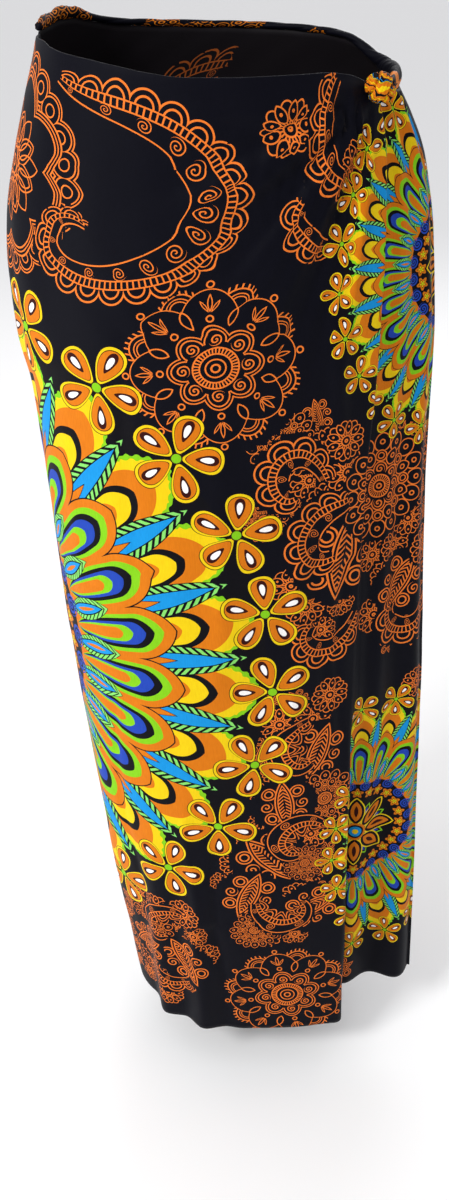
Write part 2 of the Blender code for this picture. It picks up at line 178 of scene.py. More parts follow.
# Folds of the drape
# Rayon is limp, so the knot's pull draws soft ridges across the front, and the hem falls into
# upright flutes. Each row is one fold with its own size, as the real ones are all unlike: heights
# are in metres out from the wrap, and a minus makes a trough.
KNOT_FOLDS = (
    # fall below level in degrees, height, half_width in degrees, reach
    (6.0, 0.0030, 4.0, 0.130),
    (19.0, -0.0036, 4.2, 0.160),
    (31.0, 0.0050, 4.6, 0.210),
    (44.0, -0.0038, 4.6, 0.230),
    (57.0, 0.0046, 4.6, 0.260),
    (70.0, -0.0032, 4.2, 0.280),
)
FINE_KNOT_FOLDS = (
    (2.0, 0.0026, 1.4, 0.120),
    (9.5, -0.0033, 1.5, 0.160),
    (15.0, 0.0030, 1.3, 0.150),
    (25.0, 0.0038, 1.6, 0.200),
    (30.5, -0.0029, 1.4, 0.170),
    (37.5, -0.0037, 1.7, 0.220),
    (43.5, 0.0030, 1.5, 0.200),
    (50.0, 0.0036, 1.6, 0.230),
    (58.0, -0.0033, 1.6, 0.220),
    (63.0, 0.0038, 1.7, 0.260),
    (70.0, -0.0029, 1.4, 0.220),
    (76.0, -0.0036, 1.7, 0.280),
    (83.0, 0.0036, 1.6, 0.310),
)
FRONT_FLUTES = (
    # along, height, half_width, starts, full
    (-0.158, 0.0035, 0.016, -0.45, -0.95),
    (-0.118, -0.0040, 0.013, -0.62, -0.95),
    (-0.092, 0.0050, 0.011, -0.66, -0.96),
    (-0.066, -0.0045, 0.011, -0.64, -0.96),
    (-0.042, 0.0045, 0.011, -0.66, -0.96),
    (-0.016, -0.0035, 0.012, -0.70, -0.97),
    (0.055, 0.0022, 0.030, -0.60, -0.97),
)
BACK_FLUTES = (
    (0.050, -0.0030, 0.018, -0.50, -0.98),
    (0.095, 0.0055, 0.024, -0.35, -0.98),
    (0.150, -0.0045, 0.024, -0.40, -0.98),
    (0.205, 0.0060, 0.022, -0.32, -0.98),
    (0.265, -0.0040, 0.022, -0.42, -0.98),
    (0.325, 0.0050, 0.022, -0.38, -0.98),
    (0.385, -0.0030, 0.022, -0.50, -0.98),
)
SOFT_CREASES = (
    # along, height, half_width, top, bottom, lean
    (-0.205, -0.0014, 0.007, -0.10, -0.42, 0.05),
    (-0.150, 0.0015, 0.010, -0.24, -0.60, 0.04),
    (-0.120, -0.0017, 0.006, -0.50, -0.90, -0.03),
    (-0.085, -0.0014, 0.009, -0.16, -0.52, 0.03),
    (-0.048, 0.0015, 0.006, -0.62, -0.97, 0.02),
    (-0.020, -0.0020, 0.005, -0.66, -0.99, -0.02),
    (-0.008, 0.0017, 0.011, -0.22, -0.60, 0.05),
    (0.034, -0.0015, 0.008, -0.40, -0.86, -0.03),
    (0.062, 0.0019, 0.009, -0.30, -0.70, -0.02),
    (0.084, -0.0020, 0.006, -0.20, -0.62, -0.03),
    (0.098, 0.0020, 0.007, -0.14, -0.50, -0.03),
    (0.108, -0.0019, 0.005, -0.36, -0.66, 0.02),
    (0.118, 0.0017, 0.006, -0.58, -0.96, 0.00),
    (-0.290, 0.0020, 0.012, -0.12, -0.62, 0.04),
    (-0.345, -0.0024, 0.010, -0.20, -0.80, 0.03),
    (-0.400, 0.0022, 0.014, -0.10, -0.55, -0.03),
    (-0.455, -0.0020, 0.010, -0.28, -0.92, 0.02),
    (-0.520, 0.0026, 0.013, -0.14, -0.70, -0.04),
    (-0.580, -0.0022, 0.011, -0.34, -0.95, 0.03),
    (-0.640, 0.0020, 0.012, -0.12, -0.60, -0.03),
)
TUCKS = (
    # fall below level in degrees, cloth taken up, half_width in degrees, reach
    (15.5, 0.0050, 0.8, 0.150),
    (28.0, 0.0065, 0.9, 0.230),
    (41.0, 0.0075, 0.9, 0.280),
    (54.0, 0.0060, 0.9, 0.260),
    (67.0, 0.0075, 0.8, 0.300),
    (79.0, 0.0055, 0.8, 0.330),
)
WAVES = 2.27
WAVE_PHASE = 0.616


def fan_of_folds(folds, x, height, start):
    """Relief of the ridges that fan out from the knot."""
    below = KNOT_MIDDLE.z - height
    beside = KNOT_MIDDLE.x - x
    distance = np.hypot(beside, below)
    fall = np.degrees(np.arctan2(below, beside))
    total = np.zeros_like(distance)
    for fold_fall, rise, half_width, reach in folds:
        fade = ease(distance / start) * (1.0 - ease((distance - start) / reach))
        total += rise * bump(fall - fold_fall, half_width) * fade
    return total


def tuck_print(points, flat):
    """Shifts the print where a fold from the knot takes up cloth, so that its lines break there."""
    below = KNOT_MIDDLE.z - points[..., 2]
    beside = KNOT_MIDDLE.x - points[..., 0]
    distance = np.hypot(beside, below)
    fall = np.degrees(np.arctan2(below, beside))
    shifted = flat.copy()
    for fold_fall, taken, half_width, reach in TUCKS:
        fade = ease((distance - 0.02) / 0.05) * (1.0 - ease((distance - 0.45 * reach) / (0.55 * reach)))
        step = ease(0.5 + 0.5 * (fall - fold_fall) / half_width) - 1.0
        moved = taken * fade * step * (beside > 0)
        lean = math.radians(fold_fall)
        shifted[..., 0] += moved * math.sin(lean)
        shifted[..., 1] -= moved * math.cos(lean)
    return shifted


def flutes(rows, along, height):
    """Relief of the upright flutes, which grow from where they start down to the hem."""
    total = np.zeros_like(along)
    for middle, rise, half_width, starts, full in rows:
        total += rise * ease((starts - height) / (starts - full)) * bump(along - middle, half_width)
    return total


def soft_relief(along, height):
    """The small creases and the slight unevenness of limp cloth, by its flat coordinates."""
    total = np.zeros_like(along)
    for middle, rise, half_width, top, bottom, lean in SOFT_CREASES:
        inside = ease((top - height) / 0.10) * ease((height - bottom) / 0.10)
        wander = 0.004 * np.sin(height * 23.0 + middle * 90.0)
        shifted = along - middle - lean * (height - 0.5 * (top + bottom)) - wander
        total += rise * inside * bump(shifted, half_width)
    total += 0.00035 * np.sin(along * 61.0 + 2.0 * np.sin(height * 17.0)) * np.sin(height * 29.0)
    total += 0.00020 * np.sin(along * 143.0 + height * 41.0 + 1.7 * np.sin(height * 37.0))
    return total


# The printed rayon
# Light plain-woven viscose rayon, near-black and printed in flat bright colours. That gives a matt
# face with a faint silky sheen, and hard edges between colours. The print is wheels of feathers and
# flowers, with orange line work between them.
NAVY = "#090912"
LINE = "#e6762b"
ORANGE = "#cf7212"
YELLOW = "#e4c312"
LIME = "#7dc21a"
CYAN = "#168cd0"
BLUE = "#2243a8"
PALE_GREEN = "#7fd066"
MAROON = "#35100e"
WHITE = "#f5f1ee"
BLACK = "#0c0b10"
VIOLET = "#4a4a90"
SECTORS = 24
FULL_TURN = 2.0 * math.pi


def to_linear(hex_colour):
    """An sRGB hex colour as linear red, green, blue and full opacity."""
    parts = [int(hex_colour[i:i + 2], 16) / 255.0 for i in (1, 3, 5)]
    return [p / 12.92 if p <= 0.04045 else ((p + 0.055) / 1.055) ** 2.4 for p in parts] + [1.0]


def add(tree, kind, *inputs, out=0, stops=(), **settings):
    """Adds a node. kind is its type, with its operation after a space; inputs are sockets or values."""
    kind, _, operation = kind.partition(" ")
    made = tree.nodes.new("ShaderNode" + kind)
    if operation:
        made.operation = operation
    for name, value in settings.items():
        setattr(made, name, value)
    for socket, value in zip(made.inputs, inputs):
        if isinstance(value, bpy.types.NodeSocket):
            tree.links.new(value, socket)
        elif value is not None:
            socket.default_value = value
    if stops:
        made.color_ramp.interpolation = "CONSTANT"
        made.color_ramp.elements.remove(made.color_ramp.elements[1])
        for place, colour in stops:
            stop = made.color_ramp.elements.new(place)
            stop.color = to_linear(colour) if colour else (0.0, 0.0, 0.0, 0.0)
        made.color_ramp.elements[0].color = (0.0, 0.0, 0.0, 0.0)
    return made.outputs[out]


def paint(tree, below, value, *stops):
    """Prints flat bands of colour where value is over 0: each stop is where a band starts."""
    bands = add(tree, "ValToRGB", value, stops=stops)
    return add(tree, "MixRGB", bands.node.outputs["Alpha"], below, bands)


def stroke(tree, value, *spans):
    """1 where value lies in one of the spans, for drawn lines."""
    stops = [stop for start, end in spans for stop in ((start, WHITE), (end, None))]
    return add(tree, "ValToRGB", value, out=1, stops=stops)


def sector(tree, turns, count, radius, shift):
    """Distance across from the middle line of one of count equal sectors."""
    share = add(tree, "Math FRACT", add(tree, "Math MULTIPLY_ADD", turns, count, shift))
    centred = add(tree, "Math MULTIPLY_ADD", share, FULL_TURN / count, -0.5 * FULL_TURN / count)
    return add(tree, "Math MULTIPLY", centred, radius)


def distance(tree, along, across, middle):
    """Distance from a point on the middle line."""
    offset = add(tree, "Math SUBTRACT", along, middle)
    return add(tree, "VectorMath LENGTH", add(tree, "CombineXYZ", offset, across), out=1)


def leaf(tree, along, across, base, tip, half_width):
    """How far in from the edge of a pointed leaf: 0 at its edge and 1 in its middle."""
    half = 0.5 * (tip - base)
    arc = (half**2 + half_width**2) / (2.0 * half_width)
    aside = add(tree, "Math ADD", add(tree, "Math ABSOLUTE", across), arc - half_width)
    reach = distance(tree, along, aside, 0.5 * (base + tip))
    return add(tree, "Math MULTIPLY_ADD", reach, -1.0 / half_width, arc / half_width)


def spiral(tree, along, across, middle, pitch, share, reach):
    """1 on a drawn spiral about a middle."""
    away = distance(tree, along, across, middle)
    offset = add(tree, "Math SUBTRACT", along, middle)
    bearing = add(tree, "Math DIVIDE", add(tree, "Math ARCTAN2", across, offset), FULL_TURN)
    wound = add(tree, "Math FRACT", add(tree, "Math MULTIPLY_ADD", away, 1.0 / pitch, bearing))
    inside = add(tree, "Math LESS_THAN", away, reach)
    return add(tree, "Math MULTIPLY", add(tree, "Math LESS_THAN", wound, share), inside)


def either(tree, *masks):
    """1 where any of the masks is 1."""
    total = masks[0]
    for mask in masks[1:]:
        total = add(tree, "Math MAXIMUM", total, mask)
    return total


def both(tree, *masks):
    """1 where all of the masks are 1."""
    total = masks[0]
    for mask in masks[1:]:
        total = add(tree, "Math MULTIPLY", total, mask)
    return total


def polar(tree, plane):
    """Distance from a plane's origin, and the bearing in whole turns."""
    x = add(tree, "SeparateXYZ", plane)
    turns = add(tree, "Math DIVIDE", add(tree, "Math ARCTAN2", x.node.outputs[1], x), FULL_TURN)
    return add(tree, "VectorMath LENGTH", plane, out=1), turns


def ogive(tree, along, across, base, tip, half_width):
    """How far in from the edge of a blunt feather: a slightly pointed tip and a long narrow base."""
    shoulder = tip - 1.30 * half_width
    squeeze = 1.30 * half_width / (shoulder - base)
    lower = add(tree, "Math MULTIPLY_ADD", along, squeeze, shoulder * (1.0 - squeeze))
    kept = add(tree, "Math MAXIMUM", along, lower)
    return leaf(tree, kept, across, tip - 2.60 * half_width, tip, half_width)


def feather_wheel(tree, ground):
    """Rings of feathers about a flower, in a plane where the outer ring of flowers has radius 1."""
    radius, turns = polar(tree, add(tree, "UVMap", uv_map="wheel"))
    disc = add(tree, "Math LESS_THAN", radius, 0.985)
    colour = add(tree, "MixRGB", disc, ground, to_linear(BLACK))
    on_line = sector(tree, turns, SECTORS, radius, 0.5)
    between = sector(tree, turns, SECTORS, radius, 0.0)

    frill = add(tree, "Math SINE", add(tree, "Math MULTIPLY", radius, 300.0))
    side_frill = add(tree, "Math SINE", add(tree, "Math MULTIPLY", on_line, 300.0))
    wave = add(tree, "Math ADD", frill, side_frill)
    feather = ogive(tree, radius, on_line, 0.42, 0.972, 0.108)
    frilled = add(tree, "Math MULTIPLY_ADD", wave, 0.020, feather)
    colour = paint(tree, colour, frilled, (0.02, LIME), (0.13, YELLOW))
    for tip, half_width, tint in (
        (0.912, 0.080, ORANGE),
        (0.846, 0.058, BLACK),
        (0.820, 0.045, YELLOW),
        (0.768, 0.032, ORANGE),
        (0.712, 0.018, LIME),
    ):
        band = ogive(tree, radius, on_line, 0.52, tip, half_width)
        colour = paint(tree, colour, band, (0.002, tint))

    halo = leaf(tree, radius, between, 0.50, 0.938, 0.050)
    blade = leaf(tree, radius, between, 0.53, 0.905, 0.027)
    slanted = add(tree, "Math MULTIPLY_ADD", add(tree, "Math ABSOLUTE", between), 0.9, radius)
    comb = add(tree, "Math FRACT", add(tree, "Math MULTIPLY", slanted, 44.0))
    barb = both(tree, stroke(tree, comb, (0.44, 0.99)), stroke(tree, halo, (0.06, 1.0)))
    colour = paint(tree, colour, halo, (0.004, BLACK))
    colour = add(tree, "MixRGB", barb, colour, to_linear(PALE_GREEN))
    colour = paint(tree, colour, blade, (0.002, BLACK), (0.12, CYAN))
    tongue = leaf(tree, radius, between, 0.52, 0.74, 0.016)
    colour = paint(tree, colour, tongue, (0.01, BLACK), (0.14, ORANGE))
    stem = leaf(tree, radius, between, 0.48, 0.62, 0.012)
    colour = paint(tree, colour, stem, (0.01, VIOLET))

    inner = ogive(tree, radius, on_line, 0.34, 0.755, 0.086)
    colour = paint(tree, colour, inner, (0.002, BLACK), (0.05, ORANGE))
    for tip, half_width, tint in (
        (0.716, 0.062, LIME),
        (0.688, 0.049, BLACK),
        (0.662, 0.037, BLUE),
        (0.622, 0.027, LIME),
        (0.590, 0.018, ORANGE),
    ):
        band = ogive(tree, radius, on_line, 0.40, tip, half_width)
        colour = paint(tree, colour, band, (0.002, tint))

    small = leaf(tree, radius, between, 0.385, 0.565, 0.036)
    small_comb = add(tree, "Math FRACT", add(tree, "Math MULTIPLY", slanted, 64.0))
    small_barb = both(tree, stroke(tree, small_comb, (0.3, 0.99)), stroke(tree, small, (0.05, 1.0)))
    colour = paint(tree, colour, small, (0.003, BLACK))
    colour = add(tree, "MixRGB", small_barb, colour, to_linear(PALE_GREEN))
    small_blade = leaf(tree, radius, between, 0.395, 0.545, 0.020)
    colour = paint(tree, colour, small_blade, (0.003, BLACK), (0.18, CYAN), (0.70, ORANGE))

    inside = add(tree, "Math LESS_THAN", radius, 0.392)
    colour = add(tree, "MixRGB", inside, colour, to_linear(BLACK))
    curl = spiral(tree, radius, between, 0.375, 0.0150, 0.60, 0.036)
    colour = add(tree, "MixRGB", curl, colour, to_linear(BLUE))
    away = distance(tree, radius, on_line, 0.318)
    bearing = add(tree, "Math ARCTAN2", on_line, add(tree, "Math SUBTRACT", radius, 0.318))
    lobes = add(tree, "Math COSINE", add(tree, "Math MULTIPLY", bearing, 5.0))
    bloom = add(tree, "Math MULTIPLY_ADD", away, -27.0, add(tree, "Math MULTIPLY_ADD", lobes, 0.22, 0.86))
    colour = paint(tree, colour, bloom, (0.02, ORANGE), (0.40, BLACK), (0.52, YELLOW), (0.80, LIME))

    eight = sector(tree, turns, SECTORS / 3, radius, 0.5)
    eight_between = sector(tree, turns, SECTORS / 3, radius, 0.0)
    petal = leaf(tree, radius, eight_between, 0.04, 0.235, 0.040)
    colour = paint(tree, colour, petal, (0.01, LIME), (0.24, BLACK), (0.50, BLUE))
    petal = leaf(tree, radius, eight, 0.05, 0.282, 0.062)
    colour = paint(tree, colour, petal, (0.01, YELLOW), (0.15, BLACK), (0.42, ORANGE), (0.78, MAROON))
    heart = add(tree, "Math MULTIPLY_ADD", radius, -14.0, 1.0)
    return paint(tree, colour, heart, (0.02, ORANGE), (0.24, BLACK), (0.42, CYAN), (0.72, YELLOW))


def ring_of_flowers(tree, ground):
    """Five-petalled flowers round the wheel, each turned its own way."""
    radius, turns = polar(tree, add(tree, "UVMap", uv_map="wheel"))
    across = sector(tree, turns, SECTORS, radius, 0.5)
    away = distance(tree, radius, across, 1.0)
    bearing = add(tree, "Math ARCTAN2", across, add(tree, "Math SUBTRACT", radius, 1.0))
    which = add(tree, "Math FLOOR", add(tree, "Math MULTIPLY_ADD", turns, SECTORS, 0.5))
    fifth = add(tree, "Math MULTIPLY", bearing, 5 / FULL_TURN)
    share = add(tree, "Math FRACT", add(tree, "Math MULTIPLY_ADD", which, 0.37, fifth))
    off_petal = add(tree, "Math MULTIPLY_ADD", share, FULL_TURN / 5, -FULL_TURN / 10)
    along = add(tree, "Math MULTIPLY", away, add(tree, "Math COSINE", off_petal))
    aside = add(tree, "Math MULTIPLY", away, add(tree, "Math SINE", off_petal))
    wide = add(tree, "Math DIVIDE", aside, add(tree, "Math MULTIPLY_ADD", along, 0.28, 0.012))
    long = add(tree, "Math MULTIPLY_ADD", along, 1.0 / 0.050, -0.068 / 0.050)
    spent = add(tree, "VectorMath LENGTH", add(tree, "CombineXYZ", wide, long), out=1)
    petal = add(tree, "Math SUBTRACT", 1.12, spent)
    colour = paint(tree, ground, petal, (0.004, BLACK), (0.05, YELLOW), (0.20, MAROON), (0.25, ORANGE))
    drop_wide = add(tree, "Math DIVIDE", aside, add(tree, "Math MULTIPLY_ADD", along, 0.19, -0.002))
    drop_long = add(tree, "Math MULTIPLY_ADD", along, 1.0 / 0.031, -0.078 / 0.031)
    drop = add(tree, "VectorMath LENGTH", add(tree, "CombineXYZ", drop_wide, drop_long), out=1)
    inner = add(tree, "Math SUBTRACT", 1.0, drop)
    colour = paint(tree, colour, inner, (0.02, MAROON), (0.42, WHITE))
    button = add(tree, "Math MULTIPLY_ADD", away, -62.0, 1.0)
    return paint(tree, colour, button, (0.02, MAROON), (0.22, LIME))


def motif_plane(tree, kind):
    """The plane of one kind of line-drawn motif: the kinds lie side by side on one map."""
    motif_map = add(tree, "UVMap", uv_map="motif")
    return add(tree, "VectorMath SUBTRACT", motif_map, (KIND_STEP * kind, 0.0, 0.0))


def rosette(tree):
    """1 on the lines of an open round flower, with sprays and fringed fans about it."""
    radius, turns = polar(tree, motif_plane(tree, ROSETTE))
    lobe = sector(tree, turns, 8, radius, 0.5)
    gap = sector(tree, turns, 8, radius, 0.0)
    rings = stroke(tree, radius, (0.030, 0.050), (0.088, 0.104), (0.148, 0.162), (0.212, 0.228))
    ray = add(tree, "Math FRACT", add(tree, "Math MULTIPLY", turns, 36.0))
    rays = both(tree, stroke(tree, ray, (0.55, 0.99)), stroke(tree, radius, (0.160, 0.216)))
    curls = spiral(tree, radius, lobe, 0.315, 0.040, 0.40, 0.068)
    outward = add(tree, "Math GREATER_THAN", radius, 0.275)
    lobe_away = distance(tree, radius, lobe, 0.315)
    covered = add(tree, "Math GREATER_THAN", distance(tree, radius, gap, 0.24), 0.05)
    outline = both(tree, stroke(tree, lobe_away, (0.098, 0.114), (0.140, 0.154)), outward, covered)
    spray = stroke(tree, leaf(tree, radius, gap, 0.46, 0.68, 0.052), (0.02, 0.30))
    beads = stroke(tree, distance(tree, radius, lobe, 0.535), (0.022, 0.038))
    drawn = either(tree, rings, rays, curls, outline, spray, beads)
    arch_away = distance(tree, radius, lobe, 0.56)
    beyond = add(tree, "Math GREATER_THAN", radius, 0.6)
    arches = both(tree, stroke(tree, arch_away, (0.268, 0.281)), beyond)
    aside = add(tree, "Math ABSOLUTE", lobe)
    slanted = add(tree, "Math SUBTRACT", aside, add(tree, "Math MULTIPLY_ADD", radius, 0.62, -0.36))
    leaves = stroke(tree, leaf(tree, radius, lobe, 0.60, 0.79, 0.026), (0.02, 0.44))
    side_leaves = stroke(tree, leaf(tree, radius, slanted, 0.60, 0.73, 0.020), (0.02, 0.54))
    drawn = either(tree, drawn, arches, leaves, side_leaves)
    outer = add(tree, "Math GREATER_THAN", arch_away, 0.278)
    fan_away = distance(tree, radius, gap, 0.70)
    fans = both(tree, stroke(tree, fan_away, (0.080, 0.092), (0.112, 0.124), (0.160, 0.172)), outer)
    fringe_ray = add(tree, "Math FRACT", add(tree, "Math MULTIPLY", turns, 96.0))
    fringe_band = stroke(tree, fan_away, (0.172, 0.215))
    fringe = both(tree, stroke(tree, fringe_ray, (0.70, 0.99)), fringe_band, outer)
    tip_beads = stroke(tree, distance(tree, radius, lobe, 0.885), (0.022, 0.036))
    return either(tree, drawn, fans, fringe, tip_beads)


def mandala(tree):
    """1 on the lines of a dense round flower, with curls and pointed petals that hold a bead."""
    radius, turns = polar(tree, motif_plane(tree, MANDALA))
    lobe = sector(tree, turns, 8, radius, 0.5)
    gap = sector(tree, turns, 8, radius, 0.0)
    rings = stroke(tree, radius, (0.025, 0.052), (0.090, 0.115), (0.195, 0.218))
    ray = add(tree, "Math FRACT", add(tree, "Math MULTIPLY", turns, 26.0))
    rays = both(tree, stroke(tree, ray, (0.58, 0.99)), stroke(tree, radius, (0.115, 0.200)))
    curls = spiral(tree, radius, lobe, 0.320, 0.062, 0.42, 0.085)
    outward = add(tree, "Math GREATER_THAN", radius, 0.260)
    outline = both(tree, stroke(tree, distance(tree, radius, lobe, 0.320), (0.112, 0.135)), outward)
    petal = leaf(tree, radius, gap, 0.400, 0.720, 0.125)
    petals = stroke(tree, petal, (0.02, 0.18))
    beads = stroke(tree, distance(tree, radius, gap, 0.575), (0.024, 0.048))
    arcs = stroke(tree, distance(tree, radius, lobe, 0.560), (0.040, 0.062), (0.085, 0.107))
    off_petal = add(tree, "Math LESS_THAN", petal, 0.0)
    drawn = either(tree, rings, rays, curls, outline, petals, beads, both(tree, arcs, off_petal))
    point = sector(tree, turns, 16, radius, 0.5)
    outer = leaf(tree, radius, point, 0.620, 0.985, 0.160)
    outward = add(tree, "Math GREATER_THAN", radius, 0.66)
    points = both(tree, stroke(tree, outer, (0.02, 0.16)), off_petal, outward)
    point_beads = stroke(tree, distance(tree, radius, point, 0.810), (0.026, 0.050))
    return either(tree, drawn, points, point_beads)


def scalloped(tree):
    """1 on the lines of a lotus inside bold scalloped rings."""
    radius, turns = polar(tree, motif_plane(tree, SCALLOPED))
    lobe = sector(tree, turns, 8, radius, 0.5)
    gap = sector(tree, turns, 8, radius, 0.0)
    heart = stroke(tree, radius, (0.030, 0.050), (0.095, 0.112))
    far_petal = stroke(tree, leaf(tree, radius, gap, 0.130, 0.500, 0.090), (0.02, 0.15))
    near = leaf(tree, radius, lobe, 0.110, 0.440, 0.110)
    petals = either(tree, stroke(tree, near, (0.02, 0.14), (0.36, 0.48)), far_petal)
    big_away = distance(tree, radius, lobe, 0.480)
    outward = add(tree, "Math GREATER_THAN", radius, 0.520)
    big = both(tree, stroke(tree, big_away, (0.232, 0.250), (0.268, 0.280), (0.300, 0.314)), outward)
    clear = add(tree, "Math GREATER_THAN", big_away, 0.312)
    small = sector(tree, turns, 24, radius, 0.5)
    small_away = distance(tree, radius, small, 0.800)
    fringe = both(tree, stroke(tree, small_away, (0.040, 0.054), (0.098, 0.112), (0.128, 0.140)), clear)
    return either(tree, heart, petals, big, fringe)


def blossom(tree):
    """1 on the lines of a small round flower of looped petals."""
    radius, turns = polar(tree, motif_plane(tree, BLOSSOM))
    lobe = sector(tree, turns, 9, radius, 0.5)
    gap = sector(tree, turns, 9, radius, 0.0)
    rings = stroke(tree, radius, (0.020, 0.090), (0.190, 0.245))
    ray = add(tree, "Math FRACT", add(tree, "Math MULTIPLY", turns, 18.0))
    rays = both(tree, stroke(tree, ray, (0.55, 0.99)), stroke(tree, radius, (0.240, 0.370)))
    petal = leaf(tree, radius, lobe, 0.300, 0.900, 0.190)
    seeds = stroke(tree, distance(tree, radius, lobe, 0.62), (0.004, 0.050))
    petals = either(tree, stroke(tree, petal, (0.02, 0.25)), seeds)
    behind = stroke(tree, distance(tree, radius, gap, 0.720), (0.160, 0.205))
    off_petal = add(tree, "Math LESS_THAN", petal, 0.0)
    outer = both(tree, behind, off_petal, add(tree, "Math GREATER_THAN", radius, 0.7))
    return either(tree, rings, rays, petals, outer)


def sprig(tree):
    """1 on the lines of a long hatched leaf, with a curl at each side."""
    plane = motif_plane(tree, SPRIG)
    along = add(tree, "SeparateXYZ", plane)
    across = along.node.outputs[1]
    aside = add(tree, "Math ABSOLUTE", across)
    blade = leaf(tree, along, across, -0.95, 0.95, 0.30)
    edge = stroke(tree, blade, (0.02, 0.16), (0.32, 0.42))
    slanted = add(tree, "Math MULTIPLY_ADD", aside, 0.9, along)
    hatch = add(tree, "Math FRACT", add(tree, "Math MULTIPLY", slanted, 8.0))
    hatched = both(tree, stroke(tree, hatch, (0.62, 0.99)), stroke(tree, blade, (0.42, 0.90)))
    curl = spiral(tree, aside, along, 0.54, 0.120, 0.34, 0.20)
    far = add(tree, "Math SUBTRACT", add(tree, "Math ABSOLUTE", along), 0.46)
    loops = stroke(tree, distance(tree, aside, far, 0.42), (0.090, 0.135), (0.185, 0.225))
    clear = add(tree, "Math LESS_THAN", blade, 0.0)
    return either(tree, edge, hatched, both(tree, curl, clear), both(tree, loops, clear))


def curling_band(tree):
    """1 on the lines of a curling paisley: a ladder with spirals inside it and scallops outside."""
    along = add(tree, "SeparateXYZ", add(tree, "UVMap", uv_map="band"))
    across = along.node.outputs[1]
    width = add(tree, "SeparateXYZ", add(tree, "UVMap", uv_map="width"))
    size = add(tree, "Math MINIMUM", add(tree, "Math MULTIPLY", width, SIZE_PER_WIDTH), 1.0)
    scaled = add(tree, "Math DIVIDE", across, size)
    aside = add(tree, "Math ABSOLUTE", scaled)
    rails = add(tree, "Math COMPARE", aside, LADDER, HALF_LINE)
    rung = add(tree, "Math LESS_THAN", add(tree, "Math PINGPONG", along, 0.0020), HALF_LINE)
    rungs = both(tree, rung, add(tree, "Math LESS_THAN", aside, LADDER))
    share = add(tree, "Math DIVIDE", across, width)
    inner = add(tree, "Math COMPARE", share, -1.0, add(tree, "Math DIVIDE", HALF_LINE, width))
    cell = add(tree, "Math FRACT", add(tree, "Math MULTIPLY", along, 1.0 / 0.0245))
    place = add(tree, "Math DIVIDE", add(tree, "Math MULTIPLY_ADD", cell, 0.0245, -0.01225), width)
    curls = spiral(tree, share, place, -0.57, 0.150, 0.30, 0.33)
    drawn = either(tree, rails, rungs, inner, curls)
    scallop = add(tree, "Math FRACT", add(tree, "Math MULTIPLY", along, 1.0 / SCALLOP))
    beside = add(tree, "Math MULTIPLY_ADD", scallop, SCALLOP, -0.5 * SCALLOP)
    away = distance(tree, add(tree, "Math MULTIPLY", scaled, 0.72), beside, 0.0022)
    outside = add(tree, "Math GREATER_THAN", scaled, LADDER)
    big = add(tree, "Math COMPARE", away, 0.0090, HALF_LINE)
    small = add(tree, "Math COMPARE", away, 0.0054, HALF_LINE)
    return either(tree, drawn, both(tree, either(tree, big, small), outside))


DRAWN_YARNS_PER_METRE = 900.0
YARN_RELIEF = 0.0003
RAYON_FINISH = (
    ("Roughness", 0.52),
    ("IOR", 1.46),
    ("Specular IOR Level", 0.06),
    ("Sheen Weight", 0.012),
    ("Sheen Roughness", 0.40),
)
WRONG_SIDE_TINT = "#231f20"


def rayon(name, colour_of, tint=None):
    """Woven rayon with a dyed and printed colour; tint fades the print on its wrong side.

    Real yarns lie about 0.4 mm apart, too fine to show, so they are drawn 1.1 mm apart.
    """
    material = bpy.data.materials.new(name)
    material.use_nodes = True
    tree = material.node_tree
    shader = tree.nodes["Principled BSDF"]
    colour = colour_of(tree)
    cloth = add(tree, "UVMap", uv_map="cloth")
    yarn = add(tree, "TexNoise", add(tree, "VectorMath MULTIPLY", cloth, (1.0, 0.12, 1.0)))
    yarn.node.inputs["Scale"].default_value = DRAWN_YARNS_PER_METRE
    weft = add(tree, "TexNoise", add(tree, "VectorMath MULTIPLY", cloth, (0.12, 1.0, 1.0)))
    weft.node.inputs["Scale"].default_value = DRAWN_YARNS_PER_METRE
    # The yarn noise, which also raises the bump, lightens and darkens the colour along the yarns.
    yarn_toned = add(tree, "MixRGB", 0.18, colour, yarn, blend_type="OVERLAY")
    if tint:
        yarn_toned = add(tree, "MixRGB", 0.55, yarn_toned, to_linear(tint))
    tree.links.new(yarn_toned, shader.inputs["Base Color"])
    for socket, value in RAYON_FINISH:
        shader.inputs[socket].default_value = value
    raised = add(tree, "Bump", 0.16, YARN_RELIEF)
    tree.links.new(add(tree, "Math ADD", yarn, weft), raised.node.inputs["Height"])
    tree.links.new(raised, shader.inputs["Normal"])
    return material


def print_on_navy(tree):
    """The whole print: line work on the dark ground, then the wheels and their flowers."""
    lines = rosette(tree)
    for motif in (mandala, scalloped, blossom, sprig, curling_band):
        lines = either(tree, lines, motif(tree))
    colour = add(tree, "MixRGB", lines, to_linear(NAVY), to_linear(LINE))
    return ring_of_flowers(tree, feather_wheel(tree, colour))


